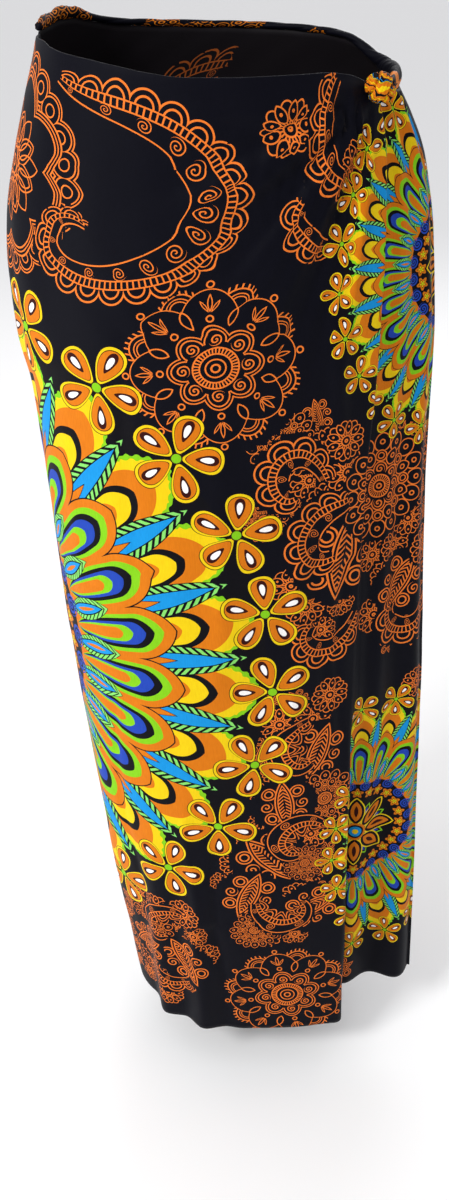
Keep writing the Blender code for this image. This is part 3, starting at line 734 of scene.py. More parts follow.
WHEELS = (
    # stretch, along, height, radius, turn in degrees
    ("front", -0.2907, -0.511, 0.331, -3.8),
    ("back", -0.2907, -0.511, 0.331, -3.8),
    ("front", 0.2326, -0.159, 0.141, 2.0),
    ("end", 0.2400, -0.160, 0.141, 2.0),
    ("front", 0.2560, -0.755, 0.155, 0.0),
    ("end", 0.1710, -0.755, 0.168, 5.0),
    ("back", -0.8300, -0.200, 0.141, 7.0),
    ("back", -0.7800, -0.760, 0.155, 3.0),
)
KIND_STEP = 4.0
ROSETTE, MANDALA, SCALLOPED, BLOSSOM, SPRIG = range(5)
PATCHES = (
    # stretch, along, height, half_width, half_height: where small motifs crowd together
    ("front", 0.072, -0.320, 0.046, 0.072),
    ("front", 0.090, -0.420, 0.036, 0.078),
    ("end", 0.205, -0.385, 0.062, 0.095),
    ("end", 0.198, -0.480, 0.050, 0.045),
    ("front", 0.064, -0.600, 0.044, 0.080),
    ("front", 0.046, -0.770, 0.064, 0.100),
    ("front", -0.095, -0.880, 0.072, 0.072),
    ("front", -0.150, -0.935, 0.044, 0.040),
    ("front", 0.106, -0.070, 0.014, 0.030),
    ("back", -0.640, -0.300, 0.060, 0.100),
    ("back", -0.690, -0.610, 0.050, 0.060),
    ("back", -0.300, -0.920, 0.110, 0.045),
    ("back", -0.520, -0.900, 0.060, 0.070),
)
MOTIFS = (
    # kind, stretch, along, height, radius, turn in degrees
    (SPRIG, "front", 0.104, -0.400, 0.046, 84.0),
    (SPRIG, "end", 0.196, -0.452, 0.034, 60.0),
    (MANDALA, "front", 0.044, -0.282, 0.030, 10.0),
    (MANDALA, "front", 0.030, -0.352, 0.022, 0.0),
    (BLOSSOM, "front", 0.102, -0.288, 0.020, 0.0),
    (MANDALA, "end", 0.165, -0.345, 0.052, 0.0),
    (MANDALA, "front", 0.151, -0.345, 0.052, 0.0),
    (BLOSSOM, "end", 0.226, -0.420, 0.022, 0.0),
    (SPRIG, "front", 0.086, -0.612, 0.036, 70.0),
    (SPRIG, "front", 0.034, -0.742, 0.040, -52.0),
    (SPRIG, "front", 0.078, -0.815, 0.034, 24.0),
    (MANDALA, "front", 0.094, -0.672, 0.036, 0.0),
    (MANDALA, "front", 0.072, -0.752, 0.024, 20.0),
    (MANDALA, "front", -0.104, -0.858, 0.032, 12.0),
    (SPRIG, "front", -0.062, -0.900, 0.036, -62.0),
    (BLOSSOM, "front", -0.128, -0.912, 0.022, 0.0),
    (SPRIG, "front", -0.118, -0.898, 0.032, 30.0),
    (SPRIG, "front", 0.012, -0.792, 0.036, 68.0),
    (MANDALA, "front", 0.020, -0.842, 0.028, 0.0),
    (SPRIG, "front", 0.052, -0.672, 0.034, 96.0),
    (ROSETTE, "front", -0.012, -0.214, 0.078, 8.0),
    (SCALLOPED, "front", -0.196, -0.072, 0.090, 20.0),
    (SCALLOPED, "back", -0.196, -0.072, 0.090, 20.0),
    (ROSETTE, "front", 0.054, -0.944, 0.078, 11.0),
    (BLOSSOM, "end", 0.222, -0.571, 0.019, 0.0),
    (SPRIG, "end", 0.168, -0.962, 0.026, 20.0),
    (BLOSSOM, "front", -0.090, -0.962, 0.021, 0.0),
    (BLOSSOM, "front", 0.030, -0.026, 0.026, 0.0),
    (ROSETTE, "back", -0.560, -0.110, 0.078, 14.0),
    (MANDALA, "back", -0.700, -0.480, 0.052, 0.0),
    (ROSETTE, "back", -0.640, -0.930, 0.062, 9.0),
)
BANDS = (
    # a path in flat coordinates: stretch, then along, height and width at each point
    ("front", (
        (-0.128, -0.006, 0.004), (-0.112, -0.012, 0.008), (-0.094, -0.015, 0.012),
        (-0.076, -0.017, 0.015), (-0.057, -0.022, 0.018), (-0.041, -0.031, 0.022),
        (-0.028, -0.043, 0.026), (-0.018, -0.058, 0.029), (-0.0125, -0.0755, 0.031),
        (-0.0135, -0.0935, 0.031), (-0.0205, -0.110, 0.029), (-0.0335, -0.125, 0.026),
        (-0.052, -0.138, 0.022), (-0.073, -0.147, 0.018), (-0.094, -0.151, 0.015),
        (-0.115, -0.150, 0.013), (-0.133, -0.142, 0.012), (-0.144, -0.128, 0.011),
        (-0.142, -0.113, 0.009), (-0.131, -0.102, 0.007), (-0.116, -0.101, 0.005),
        (-0.106, -0.108, 0.003),
    )),
    ("front", (
        (0.060, -0.334, 0.007), (0.050, -0.338, 0.010), (0.040, -0.330, 0.013),
        (0.036, -0.315, 0.015), (0.041, -0.300, 0.015), (0.054, -0.292, 0.014),
        (0.070, -0.296, 0.011), (0.082, -0.310, 0.008), (0.088, -0.324, 0.006),
    )),
    ("front", (
        (0.096, -0.398, 0.008), (0.081, -0.404, 0.012), (0.067, -0.397, 0.017),
        (0.061, -0.380, 0.018), (0.069, -0.361, 0.017), (0.087, -0.349, 0.013),
        (0.108, -0.343, 0.008),
    )),
    ("front", (
        (0.126, -0.462, 0.006), (0.118, -0.482, 0.010), (0.104, -0.496, 0.013),
        (0.086, -0.500, 0.014), (0.071, -0.490, 0.013), (0.067, -0.474, 0.010),
        (0.078, -0.462, 0.007),
    )),
    ("end", (
        (0.232, -0.478, 0.007), (0.222, -0.500, 0.012), (0.202, -0.508, 0.014),
        (0.184, -0.498, 0.014), (0.178, -0.480, 0.010), (0.188, -0.468, 0.006),
    )),
    ("front", (
        (0.080, -0.574, 0.006), (0.062, -0.582, 0.010), (0.050, -0.598, 0.014),
        (0.054, -0.618, 0.014), (0.070, -0.628, 0.010), (0.080, -0.620, 0.006),
    )),
    ("front", (
        (0.092, -0.706, 0.006), (0.076, -0.698, 0.011), (0.056, -0.704, 0.015),
        (0.046, -0.722, 0.015), (0.054, -0.738, 0.010), (0.068, -0.738, 0.006),
    )),
    ("front", (
        (0.020, -0.800, 0.006), (0.024, -0.820, 0.011), (0.042, -0.834, 0.015),
        (0.064, -0.830, 0.013), (0.072, -0.816, 0.008), (0.064, -0.804, 0.006),
    )),
    ("front", (
        (-0.062, -0.832, 0.006), (-0.080, -0.828, 0.010), (-0.098, -0.836, 0.013),
        (-0.104, -0.854, 0.013), (-0.094, -0.868, 0.009), (-0.082, -0.866, 0.005),
    )),
    ("front", (
        (-0.058, -0.932, 0.005), (-0.070, -0.944, 0.009), (-0.088, -0.946, 0.012),
        (-0.102, -0.936, 0.011), (-0.106, -0.922, 0.007), (-0.098, -0.912, 0.005),
    )),
    ("front", (
        (0.099, -0.087, 0.008), (0.077, -0.077, 0.013), (0.063, -0.058, 0.018),
        (0.063, -0.034, 0.018), (0.075, -0.014, 0.013), (0.090, -0.006, 0.008),
    )),
    ("front", (
        (0.084, -0.130, 0.006), (0.064, -0.127, 0.010), (0.046, -0.114, 0.013),
        (0.041, -0.096, 0.010), (0.049, -0.084, 0.006),
    )),
    ("back", (
        (-0.440, -0.020, 0.010), (-0.410, -0.024, 0.016), (-0.385, -0.045, 0.026),
        (-0.378, -0.080, 0.034), (-0.395, -0.115, 0.030), (-0.430, -0.140, 0.022),
        (-0.470, -0.146, 0.014), (-0.495, -0.132, 0.009), (-0.492, -0.112, 0.007),
    )),
)
LADDER = 0.0034
SCALLOP = 0.0170
HALF_LINE = 0.00058
LOOP_REACH = 0.0215
INNER_REACH = 0.0055
SIZE_PER_WIDTH = 75.0
BAND_MARGIN = 0.04
WHEEL_REACH = 1.20
MOTIF_REACH = 1.02
CROWD_STEP = 0.031
CROWD_SHAKE = 0.003
CROWD_RADII = (0.0165, 0.0190, 0.0215)
AWAY = 9.0


def crowd(patches):
    """Small motifs scattered over the patches in a loose triangular grid, the larger ones last."""
    dice = np.random.default_rng(11)
    rows = []
    for stretch, along, height, half_width, half_height in patches:
        for column in range(-5, 6):
            for row in range(-6, 7):
                spot = np.array((column + 0.5 * (row % 2), row * 0.87)) * CROWD_STEP
                spot += dice.uniform(-CROWD_SHAKE, CROWD_SHAKE, 2)
                radius = dice.choice(CROWD_RADII)
                kind = dice.choice((BLOSSOM, BLOSSOM, SPRIG))
                turn = dice.uniform(0.0, 360.0)
                if np.hypot(spot[0] / half_width, spot[1] / half_height) < 1.0:
                    rows.append((kind, stretch, along + spot[0], height + spot[1], radius, turn))
    return sorted(rows, key=lambda motif: motif[4])


def soften_path(path):
    """Rounds a path's corners."""
    for _ in range(4):
        near, far = path[:-1] * 0.75 + path[1:] * 0.25, path[:-1] * 0.25 + path[1:] * 0.75
        middle = np.stack((near, far), axis=1).reshape(-1, 3)
        path = np.concatenate((path[:1], middle, path[-1:]))
    return path


def along_band(path, spots):
    """Where spots lie by a band: how far along it, how far out from it, and its width there."""
    steps = np.diff(path[:, :2], axis=0)
    lengths = np.linalg.norm(steps, axis=1)
    starts = np.concatenate(([0.0], np.cumsum(lengths)))
    best = np.full(len(spots), np.inf)
    found = np.full((len(spots), 3), AWAY)
    for k, (start, step, length) in enumerate(zip(path, steps, lengths)):
        offset = spots - start[:2]
        share = np.clip(offset @ step / length**2, 0.0, 1.0)
        gap = offset - share[:, None] * step
        away = np.linalg.norm(gap, axis=1)
        side = np.sign(step[0] * gap[:, 1] - step[1] * gap[:, 0])
        nearer = away < best
        best[nearer] = away[nearer]
        found[nearer, 0] = starts[k] + share[nearer] * length
        found[nearer, 1] = (side * away)[nearer]
        found[nearer, 2] = path[k, 2] + share[nearer] * (path[k + 1, 2] - path[k, 2])
    return found, starts[-1]


def turned_plane(spots, middle, radius, turn):
    """Flat coordinates about a motif's middle, turned, in its own radii."""
    cosine, sine = math.cos(math.radians(turn)), math.sin(math.radians(turn))
    return ((spots - middle) / radius) @ np.array(((cosine, -sine), (sine, cosine)))


def lay_print(piece, faces, flat, stretches):
    """Writes where each motif falls on the cloth, as flat maps of the motifs' own planes."""
    corner_spots = flat[faces]
    centres = corner_spots.mean(axis=1)
    wheel = np.full(corner_spots.shape, AWAY)
    motif = np.full(corner_spots.shape, 3 * AWAY)
    band = np.full(corner_spots.shape, AWAY)
    width = np.full(corner_spots.shape, 0.05)
    for name, along, height, radius, turn in WHEELS:
        near = np.linalg.norm(centres - (along, height), axis=1) < WHEEL_REACH * radius
        here = np.flatnonzero(near & (stretches == name))
        wheel[here] = turned_plane(corner_spots[here], (along, height), radius, turn)
    for kind, name, along, height, radius, turn in crowd(PATCHES) + list(MOTIFS):
        near = np.linalg.norm(centres - (along, height), axis=1) < MOTIF_REACH * radius
        here = np.flatnonzero(near & (stretches == name))
        motif[here] = turned_plane(corner_spots[here], (along, height), radius, turn)
        motif[here] += (KIND_STEP * kind, 0.0)
    for name, points in BANDS:
        path = soften_path(np.array(points))
        low, high = path[:, :2].min(axis=0) - BAND_MARGIN, path[:, :2].max(axis=0) + BAND_MARGIN
        boxed = np.all((centres > low) & (centres < high), axis=1)
        here = np.flatnonzero(boxed & (stretches == name))
        if not len(here):
            continue
        found, length = along_band(path, corner_spots[here].reshape(-1, 2))
        found = found.reshape(-1, 4, 3)
        reach = LOOP_REACH * np.minimum(SIZE_PER_WIDTH * found[..., 2], 1.0)
        near = (found[..., 1] > -found[..., 2] - INNER_REACH) & (found[..., 1] < reach)
        near &= (found[..., 0] > 0.0002) & (found[..., 0] < length - 0.0002)
        kept = near.all(axis=1) & (np.ptp(found[..., 0], axis=1) < 0.02)
        band[here[kept]] = found[kept, :, :2]
        width[here[kept], :, 0] = found[kept, :, 2]
        motif[here[kept]] = 3 * AWAY
    for map_name, places in (("wheel", wheel), ("motif", motif), ("band", band), ("width", width)):
        piece.data.uv_layers.new(name=map_name).data.foreach_set("uv", places.reshape(-1))


# The front and the hanging end
# The outer layer is one stretch of the printed rayon. Its waist edge is folded under, it turns back
# under itself at the pleat, and its free end hangs beside that with flutes and a waving hem.
FRONT_COLUMNS = 128
PLEAT_COLUMNS = 26
HANGING_COLUMNS = 44
VALLEY = FRONT_COLUMNS + PLEAT_COLUMNS // 2
SIDE_COLUMNS = 26
HANGING_ALONG = 0.150
CLOTH_ROWS = 232
CLOTH_THICKNESS = 0.0006
FOLD_RADIUS = 0.0010
FOLD_DEPTH = 0.022
WAIST_HALF_WIDTH = 0.141
WAIST_HALF_DEPTH = 0.112
HEM_FRONT = -1.000
HEM_HANGING = -0.985
HEM_BACK = -0.985
FRONT_TOP = (
    # angle, height
    (-95.0, 0.0135),
    (-68.0, 0.0120),
    (-60.0, 0.0085),
    (-50.0, 0.0050),
    (-40.0, 0.0020),
    (-30.0, -0.0020),
    (-20.0, -0.0065),
    (-10.0, -0.0095),
    (10.0, -0.0105),
    (30.0, -0.0105),
    (40.0, -0.0130),
    (45.0, -0.0165),
    (50.0, -0.0220),
    (56.0, -0.0265),
    (64.0, -0.0295),
    (75.0, -0.0295),
)


def pleat_line(start, heading, length, turn):
    """The cloth turns back under itself by turn and then forward again, over this much cloth."""
    share = (np.arange(4 * PLEAT_COLUMNS) + 0.5) / (4 * PLEAT_COLUMNS)
    bend = ease(share / 0.36) * (1.0 - ease((share - 0.64) / 0.36))
    direction = heading + turn * bend
    steps = np.stack((np.cos(direction), np.sin(direction)), axis=-1) * (length / len(share))
    return start + np.cumsum(steps, axis=0)[3::4]


def outer_line(height):
    """The outer layer in plan at one height, and where along it the front middle is."""
    reach = at(SECTIONS, height)
    pleat_x, square, length, turn, edge_x, edge_y, _, wave = at(DRAPE, height)
    turn = math.radians(turn)
    pleat_half = 0.36 * length * math.sin(min(turn, math.pi / 2)) / max(turn, 0.4)
    start_x = pleat_x - pleat_half
    share = start_x / (1.0 + FRONT_OUTSET / 0.17) / reach[1]
    last_angle = math.asin(min(max(share, 0.0) ** (1.0 / ROUNDNESS), 1.0))
    angles = np.linspace(LEFT_SEAM, last_angle, FRONT_COLUMNS + 1)
    front = round_body(angles, reach, FRONT_OUTSET * ease((angles - LEFT_SEAM) / math.radians(60)))
    middle = int(np.argmin(np.abs(front[:, 0])))
    over = front[:, 0] > 0.0
    front[over, 1] += square * (front[middle, 1] - front[over, 1])
    lengths = lengths_along(front)
    rise = flutes(FRONT_FLUTES, lengths - lengths[middle], height)
    held_back = ease((start_x - front[:, 0]) / 0.02)
    rise += fan_of_folds(KNOT_FOLDS, front[:, 0], height, 0.05) * held_back
    rise += fan_of_folds(FINE_KNOT_FOLDS, front[:, 0], height, 0.03) * held_back
    shaped = front + plan_normals(front) * rise[:, None]
    run = shaped[-1] - shaped[-2]
    pleat = pleat_line(shaped[-1], math.atan2(run[1], run[0]), length, turn)
    first = min(max(min(max(pleat[-1, 0], 0.02), 0.14) / reach[1], 0.0) ** (1 / ROUNDNESS), 1.0)
    last = min(max(-edge_y / reach[2], 0.0) ** (1 / ROUNDNESS), 1.0)
    t = np.linspace(0.0, 1.0, HANGING_COLUMNS + 1)
    angles = math.asin(first) + (math.acos(last) - math.asin(first)) * t
    base = round_body(angles, reach)
    off_start = pleat[-1] - base[0]
    off_end = np.array((edge_x, edge_y)) - base[-1]
    hanging = base + off_start * (1.0 - ease(t))[:, None] + off_end * ease(t)[:, None]
    swell = np.sin(2.0 * math.pi * (WAVES * t + WAVE_PHASE)) * ease(t / 0.3)
    hanging = hanging + plan_normals(hanging) * (wave * swell)[:, None]
    line = np.concatenate((shaped, pleat, hanging[1:]))
    along = lengths_along(line) - lengths_along(line)[middle]
    along[VALLEY + 1:] += HANGING_ALONG - along[FRONT_COLUMNS + PLEAT_COLUMNS]
    return line, along


def hang(line_at, tops, hems, rows, outside):
    """A grid of points from the waist edge to the hem, with normals and flat coordinates."""
    low, high = min(hems), max(tops)
    levels = [line_at(low + (high - low) * k / LEVELS) for k in range(LEVELS + 1)]
    lines = np.array([line for line, _ in levels])
    alongs = np.array([along for _, along in levels])
    normals = np.array([plan_normals(line) for line in lines]) * outside
    share = np.linspace(0.0, 1.0, rows + 1)[:, None]
    heights = tops + (hems - tops) * share
    spot = np.clip((heights - low) / (high - low) * LEVELS, 0.0, LEVELS - 1e-6)
    under, part = spot.astype(int), (spot % 1.0)[..., None]
    columns = np.arange(len(tops))[None, :]
    plan = lines[under, columns] * (1 - part) + lines[under + 1, columns] * part
    normal = normals[under, columns] * (1 - part) + normals[under + 1, columns] * part
    normal /= np.linalg.norm(normal, axis=2, keepdims=True)
    part = part[..., 0]
    along = alongs[under, columns] * (1 - part) + alongs[under + 1, columns] * part
    points = np.concatenate((plan, heights[..., None]), axis=2)
    normal = np.concatenate((normal, np.zeros_like(heights)[..., None]), axis=2)
    points = points + normal * soft_relief(along, heights)[..., None]
    return points, normal, np.stack((along, heights), axis=2)


def fold_under(points, normals, flat, depth):
    """Adds the waist edge's turning: over a small radius and down inside the cloth."""
    turns = [(1 - math.cos(a), math.sin(a)) for a in np.linspace(math.pi, 0.0, 6)[:-1]]
    rows, flat_rows = [], []
    top = points[0] - np.array((0.0, 0.0, FOLD_RADIUS))
    for share in (1.0, 0.66, 0.33):
        drop = (depth * share)[:, None] * np.array((0.0, 0.0, 1.0))
        rows.append(top - normals[0] * 2 * FOLD_RADIUS - drop)
        flat_rows.append(flat[0] + (depth * share)[:, None] * np.array((0.0, 1.0)))
    for inward, rise in turns:
        rows.append(top - normals[0] * inward * FOLD_RADIUS + np.array((0, 0, rise * FOLD_RADIUS)))
        flat_rows.append(flat[0] + np.array((0.0, inward * FOLD_RADIUS)))
    points = np.concatenate((np.array(rows), np.array((top,)), points[1:]))
    normals = np.concatenate((np.repeat(normals[:1], len(rows), axis=0), normals))
    flat = np.concatenate((np.array(flat_rows), flat))
    return points, normals, flat


def surface_normals(points, plan_normal):
    """Normals of a grid, on the same side as the plan normals where the grid is upright."""
    across = np.gradient(points, axis=1)
    down = np.gradient(points, axis=0)
    normal = np.cross(across, down)
    side = np.sign(np.sum(normal[len(points) // 2] * plan_normal[len(points) // 2]))
    return normal * side / np.maximum(np.linalg.norm(normal, axis=2, keepdims=True), 1e-12)


def sew_cloth(name, points, normals, flat, materials):
    """Thin closed cloth over a grid: its printed face, its wrong side and its edges."""
    rows, columns = points.shape[:2]
    count = rows * columns
    thick = surface_normals(points, normals) * CLOTH_THICKNESS
    vertices = np.concatenate((points.reshape(-1, 3), (points - thick).reshape(-1, 3)))
    index = np.arange(count).reshape(rows, columns)
    a, b = index[:-1, :-1].ravel(), index[1:, :-1].ravel()
    c, d = index[1:, 1:].ravel(), index[:-1, 1:].ravel()
    face = np.stack((a, b, c, d), axis=1)
    rim = []
    for edge in (index[0, ::-1], index[:, 0], index[-1, :], index[::-1, -1]):
        rim.append(np.stack((edge[1:], edge[:-1], edge[:-1] + count, edge[1:] + count), axis=1))
    if np.sum(np.cross(points[1, 0] - points[0, 0], points[1, 1] - points[1, 0]) * normals[0, 0]) < 0:
        face = face[:, ::-1]
        rim = [part[:, ::-1] for part in rim]
    faces = np.concatenate((face, face[:, ::-1] + count, *rim))
    mesh = bpy.data.meshes.new(name)
    mesh.from_pydata(vertices.tolist(), [], faces.tolist())
    corners = faces.ravel()
    flat_all = np.tile(flat.reshape(-1, 2), (2, 1))
    mesh.uv_layers.new(name="OFBake").data.foreach_set("uv", bake_places(rows, columns, corners))
    mesh.uv_layers.new(name="cloth").data.foreach_set("uv", flat_all[corners].ravel())
    sides = np.zeros(len(faces), dtype=np.int32)
    sides[len(face):2 * len(face)] = 1
    for material in materials:
        mesh.materials.append(material)
    mesh.polygons.foreach_set("material_index", sides)
    mesh.shade_smooth()
    piece = bpy.data.objects.new(name, mesh)
    bpy.context.scene.collection.objects.link(piece)
    return piece, faces, flat_all


def bake_places(rows, columns, corners):
    """Flat places without overlap: the printed face at left, the wrong side at right."""
    down, across = np.meshgrid(np.linspace(0, 1, rows), np.linspace(0, 1, columns), indexing="ij")
    face = np.stack((0.005 + across * 0.61, 0.01 + (1 - down) * 0.98), axis=2).reshape(-1, 2)
    wrong = np.stack((0.63 + across * 0.365, 0.01 + (1 - down) * 0.98), axis=2).reshape(-1, 2)
    return np.concatenate((face, wrong))[corners].ravel()


OUTER_COLUMNS = FRONT_COLUMNS + PLEAT_COLUMNS + HANGING_COLUMNS
waist_line, _ = outer_line(-0.02)
waist_angles = np.arctan2(waist_line[:, 0] / WAIST_HALF_WIDTH, -waist_line[:, 1] / WAIST_HALF_DEPTH)
waist_angles = np.degrees(waist_angles)
outer_tops = np.array([at(FRONT_TOP, min(max(a, -95.0), 75.0))[0] for a in waist_angles])
to_split = (np.arange(OUTER_COLUMNS + 1) - FRONT_COLUMNS - 4) / (PLEAT_COLUMNS / 2 - 4)
outer_hems = HEM_FRONT + (HEM_HANGING - HEM_FRONT) * ease(to_split)
outer_hems += (HEM_BACK - HEM_FRONT) * (1.0 - ease(np.arange(OUTER_COLUMNS + 1) / SIDE_COLUMNS))
outer_points, outer_normals, outer_flat = hang(outer_line, outer_tops, outer_hems, CLOTH_ROWS, 1.0)
outer_flat[:, :FRONT_COLUMNS + 1] = tuck_print(outer_points, outer_flat)[:, :FRONT_COLUMNS + 1]
near_knot = ease((np.arange(OUTER_COLUMNS + 1) / FRONT_COLUMNS - 0.86) / 0.12)
outer_depth = FOLD_DEPTH * (1.0 - 0.9 * near_knot)
outer = fold_under(outer_points, outer_normals, outer_flat, outer_depth)

printed = rayon("printed woven rayon", print_on_navy)
wrong = rayon("printed woven rayon, wrong side", print_on_navy, WRONG_SIDE_TINT)
front_cloth, faces, flat = sew_cloth("front_cloth", *outer, (printed, wrong))
columns = (faces[:, 0] % outer[0][..., 0].size) % (OUTER_COLUMNS + 1)
lay_print(front_cloth, faces, flat, np.where(columns < VALLEY, "front", "end"))
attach(front_cloth, "root")
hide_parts("front_wrap", "hanging_end")


# The back
# The under layer is the same cloth. It runs from the wearer's right side round the back and on
# under the front, in a plain lap, and its top edge is taken up into the roll.
BACK_COLUMNS = 150
BACK_ROWS = 190
ROLL_BITE = 0.86
ROLL = (
    # angle, height, half_tall, half_deep, outset
    (-336.0, -0.0330, 0.0060, 0.0036, 0.0220),
    (-311.0, -0.0215, 0.0054, 0.0042, 0.0205),
    (-303.0, -0.0205, 0.0060, 0.0044, 0.0140),
    (-296.0, -0.0200, 0.0064, 0.0046, 0.0085),
    (-286.0, -0.0200, 0.0072, 0.0046, 0.0035),
    (-276.0, -0.0200, 0.0075, 0.0046, 0.0012),
    (-268.0, -0.0190, 0.0072, 0.0046, 0.0010),
    (-260.0, -0.0165, 0.0064, 0.0042, 0.0008),
    (-254.0, -0.0110, 0.0050, 0.0038, 0.0006),
    (-248.0, -0.0040, 0.0038, 0.0034, 0.0006),
    (-242.0, 0.0013, 0.0030, 0.0032, 0.0006),
    (-232.0, 0.0046, 0.0028, 0.0030, 0.0006),
    (-210.0, 0.0080, 0.0028, 0.0030, 0.0006),
    (-180.0, 0.0113, 0.0028, 0.0030, 0.0006),
    (-150.0, 0.0152, 0.0028, 0.0030, 0.0006),
    (-140.0, 0.0177, 0.0030, 0.0032, 0.0006),
    (-132.0, 0.0215, 0.0036, 0.0036, 0.0008),
    (-124.0, 0.0250, 0.0048, 0.0044, 0.0010),
    (-116.0, 0.0252, 0.0052, 0.0050, 0.0012),
    (-108.0, 0.0222, 0.0048, 0.0044, 0.0010),
    (-100.0, 0.0205, 0.0048, 0.0038, 0.0008),
    (-93.0, 0.0180, 0.0036, 0.0032, 0.0006),
    (-86.0, 0.0170, 0.0030, 0.0028, 0.0006),
)


def back_line(height):
    """The inner layer in plan at one height, and its flat coordinate, on from the front's."""
    inset = at(DRAPE, height)[6]
    angles = np.linspace(LEFT_SEAM, LAP_END, BACK_COLUMNS + 1)
    lapped = ease((math.radians(-254.0) - angles) / math.radians(32.0))
    line = round_body(angles, at(SECTIONS, height), 0.0, inset * lapped)
    lengths = lengths_along(line)
    shaped = line - plan_normals(line) * flutes(BACK_FLUTES, lengths, height)[:, None]
    return shaped, outer_line(height)[1][0] - lengths


back_angles = np.degrees(np.linspace(LEFT_SEAM, LAP_END, BACK_COLUMNS + 1))
back_tops = []
for angle in back_angles:
    height, half_tall = at(ROLL, angle)[:2]
    back_tops.append(height - ROLL_BITE * half_tall - 0.004 * ease((-262.0 - angle) / 24.0))
back_hems = np.full(BACK_COLUMNS + 1, HEM_BACK)
back = hang(back_line, np.array(back_tops), back_hems, BACK_ROWS, -1.0)
back_cloth, faces, flat = sew_cloth("back_cloth", *back, (printed, wrong))
lay_print(back_cloth, faces, flat, np.full(len(faces), "back"))
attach(back_cloth, "root")
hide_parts("back_wrap")


# The waist roll
# The back's top edge is twisted tight into a roll, thin behind and thick where it nears the knot.
# What shows of its print is whatever the twist brings to the outside.
ROLL_START = math.radians(-93.0)
ROLL_FINISH = math.radians(-311.0)
ROLL_STATIONS = 420
ROLL_SIDES = 30
ROLL_STRANDS = 2
ROLL_TWISTS = 15.0
ROLL_GIRTH = 0.045


def twisted_print(tree):
    """Where the print comes round to the outside of the roll: loops of line work on the navy."""
    place = add(tree, "UVMap", uv_map="cloth")
    patches = add(tree, "TexNoise", place, noise_dimensions="2D")
    patches.node.inputs["Scale"].default_value = 17.0
    along = add(tree, "SeparateXYZ", place)
    at_start = add(tree, "Math LESS_THAN", along, 0.078)
    printed_here = add(tree, "Math GREATER_THAN", patches, 0.66)
    cells = add(tree, "TexVoronoi", place, voronoi_dimensions="2D")
    cells.node.inputs["Scale"].default_value = 78.0
    cells.node.inputs["Randomness"].default_value = 0.55
    lines = stroke(tree, cells, (0.14, 0.25), (0.44, 0.53))
    drawn = both(tree, lines, either(tree, at_start, printed_here))
    colour = add(tree, "MixRGB", drawn, to_linear(NAVY), to_linear(ORANGE))
    near_knot = add(tree, "Math GREATER_THAN", along, 0.425)
    petals = both(tree, near_knot, add(tree, "Math GREATER_THAN", patches, 0.54))
    return add(tree, "MixRGB", petals, colour, to_linear(ORANGE))


def map_rings(mesh, lengths, girths):
    """Lays a tube's rings flat: the cloth along and around it, and a place of its own for each face."""
    stations, around = girths.shape[0], girths.shape[1] - 1
    row, column = np.meshgrid(np.arange(stations - 1), np.arange(around), indexing="ij")
    row, column = row.ravel(), column.ravel()
    spots = []
    for down, beside in ((0, 0), (0, 1), (1, 1), (1, 0)):
        length = lengths[row + down]
        spots.append(np.stack((length, girths[row + down, column + beside]), axis=1))
    cloth = np.stack(spots, axis=1).reshape(-1, 2)
    shares = []
    for down, beside in ((0, 0), (0, 1), (1, 1), (1, 0)):
        along = 0.005 + 0.97 * (row + down) / (stations - 1)
        shares.append(np.stack((along, 0.01 + 0.98 * (column + beside) / around), axis=1))
    bake = np.stack(shares, axis=1).reshape(-1, 2)
    caps = len(mesh.loops) - len(cloth)
    turn = np.linspace(0.0, 4.0 * math.pi, caps, endpoint=False)
    side = np.where(np.arange(caps) < caps // 2, 0.25, 0.75)
    rounds = np.stack((0.987 + 0.008 * np.cos(turn), side + 0.008 * np.sin(turn)), axis=1)
    mesh.uv_layers.new(name="OFBake").data.foreach_set("uv", np.concatenate((bake, rounds)).ravel())
    ends = np.repeat(cloth[[0, -1]], caps // 2, axis=0)
    mesh.uv_layers.new(name="cloth").data.foreach_set("uv", np.concatenate((cloth, ends)).ravel())


def close_rings(name, rings, material):
    """A closed piece through rings of points, one after the other."""
    stations, around = rings.shape[:2]
    index = np.arange(stations * around).reshape(stations, around)
    ahead_of = np.roll(index, -1, axis=1)
    walls = np.stack((index[:-1], ahead_of[:-1], ahead_of[1:], index[1:]), axis=2).reshape(-1, 4)
    mesh = bpy.data.meshes.new(name)
    caps = [index[0, ::-1].tolist(), index[-1].tolist()]
    mesh.from_pydata(rings.reshape(-1, 3).tolist(), [], walls.tolist() + caps)
    mesh.shade_smooth()
    mesh.materials.append(material)
    piece = bpy.data.objects.new(name, mesh)
    bpy.context.scene.collection.objects.link(piece)
    return piece


centres, sides, profiles, girths = [], [], [], []
around = np.linspace(0.0, 2.0 * math.pi, ROLL_SIDES, endpoint=False)
for k in range(ROLL_STATIONS + 1):
    along = k / ROLL_STATIONS
    angle = ROLL_START + (ROLL_FINISH - ROLL_START) * along
    height, tall, deep, outset = at(ROLL, math.degrees(angle))
    reach = at(SECTIONS, height)
    middle = round_body(np.array((angle, angle - 0.01)), reach, outset)
    step = middle[1] - middle[0]
    sides.append(np.array((-step[1], step[0], 0.0)) / np.linalg.norm(step))
    centres.append((middle[0, 0], middle[0, 1], height))
    twist = 2.0 * math.pi * ROLL_TWISTS * along + 0.6 * math.sin(along * 41.0)
    strand = np.abs(np.cos(0.5 * (ROLL_STRANDS * around + twist)))
    fine = np.abs(np.sin(3.5 * around + 1.9 * twist + 0.8 * math.sin(along * 97.0)))
    pleated = ease((along - 0.62) / 0.20) + 1.0 - ease((along - 0.10) / 0.10)
    size = 0.74 + 0.27 * strand**0.55 - 0.12 * pleated * (1.0 - fine) + 0.02 * fine
    profiles.append(np.stack((np.cos(around) * deep * size, np.sin(around) * tall * size), axis=1))
    turned_by = 0.25 * twist / FULL_TURN
    girths.append((np.linspace(0.0, 1.0, ROLL_SIDES + 1) + turned_by) * ROLL_GIRTH)
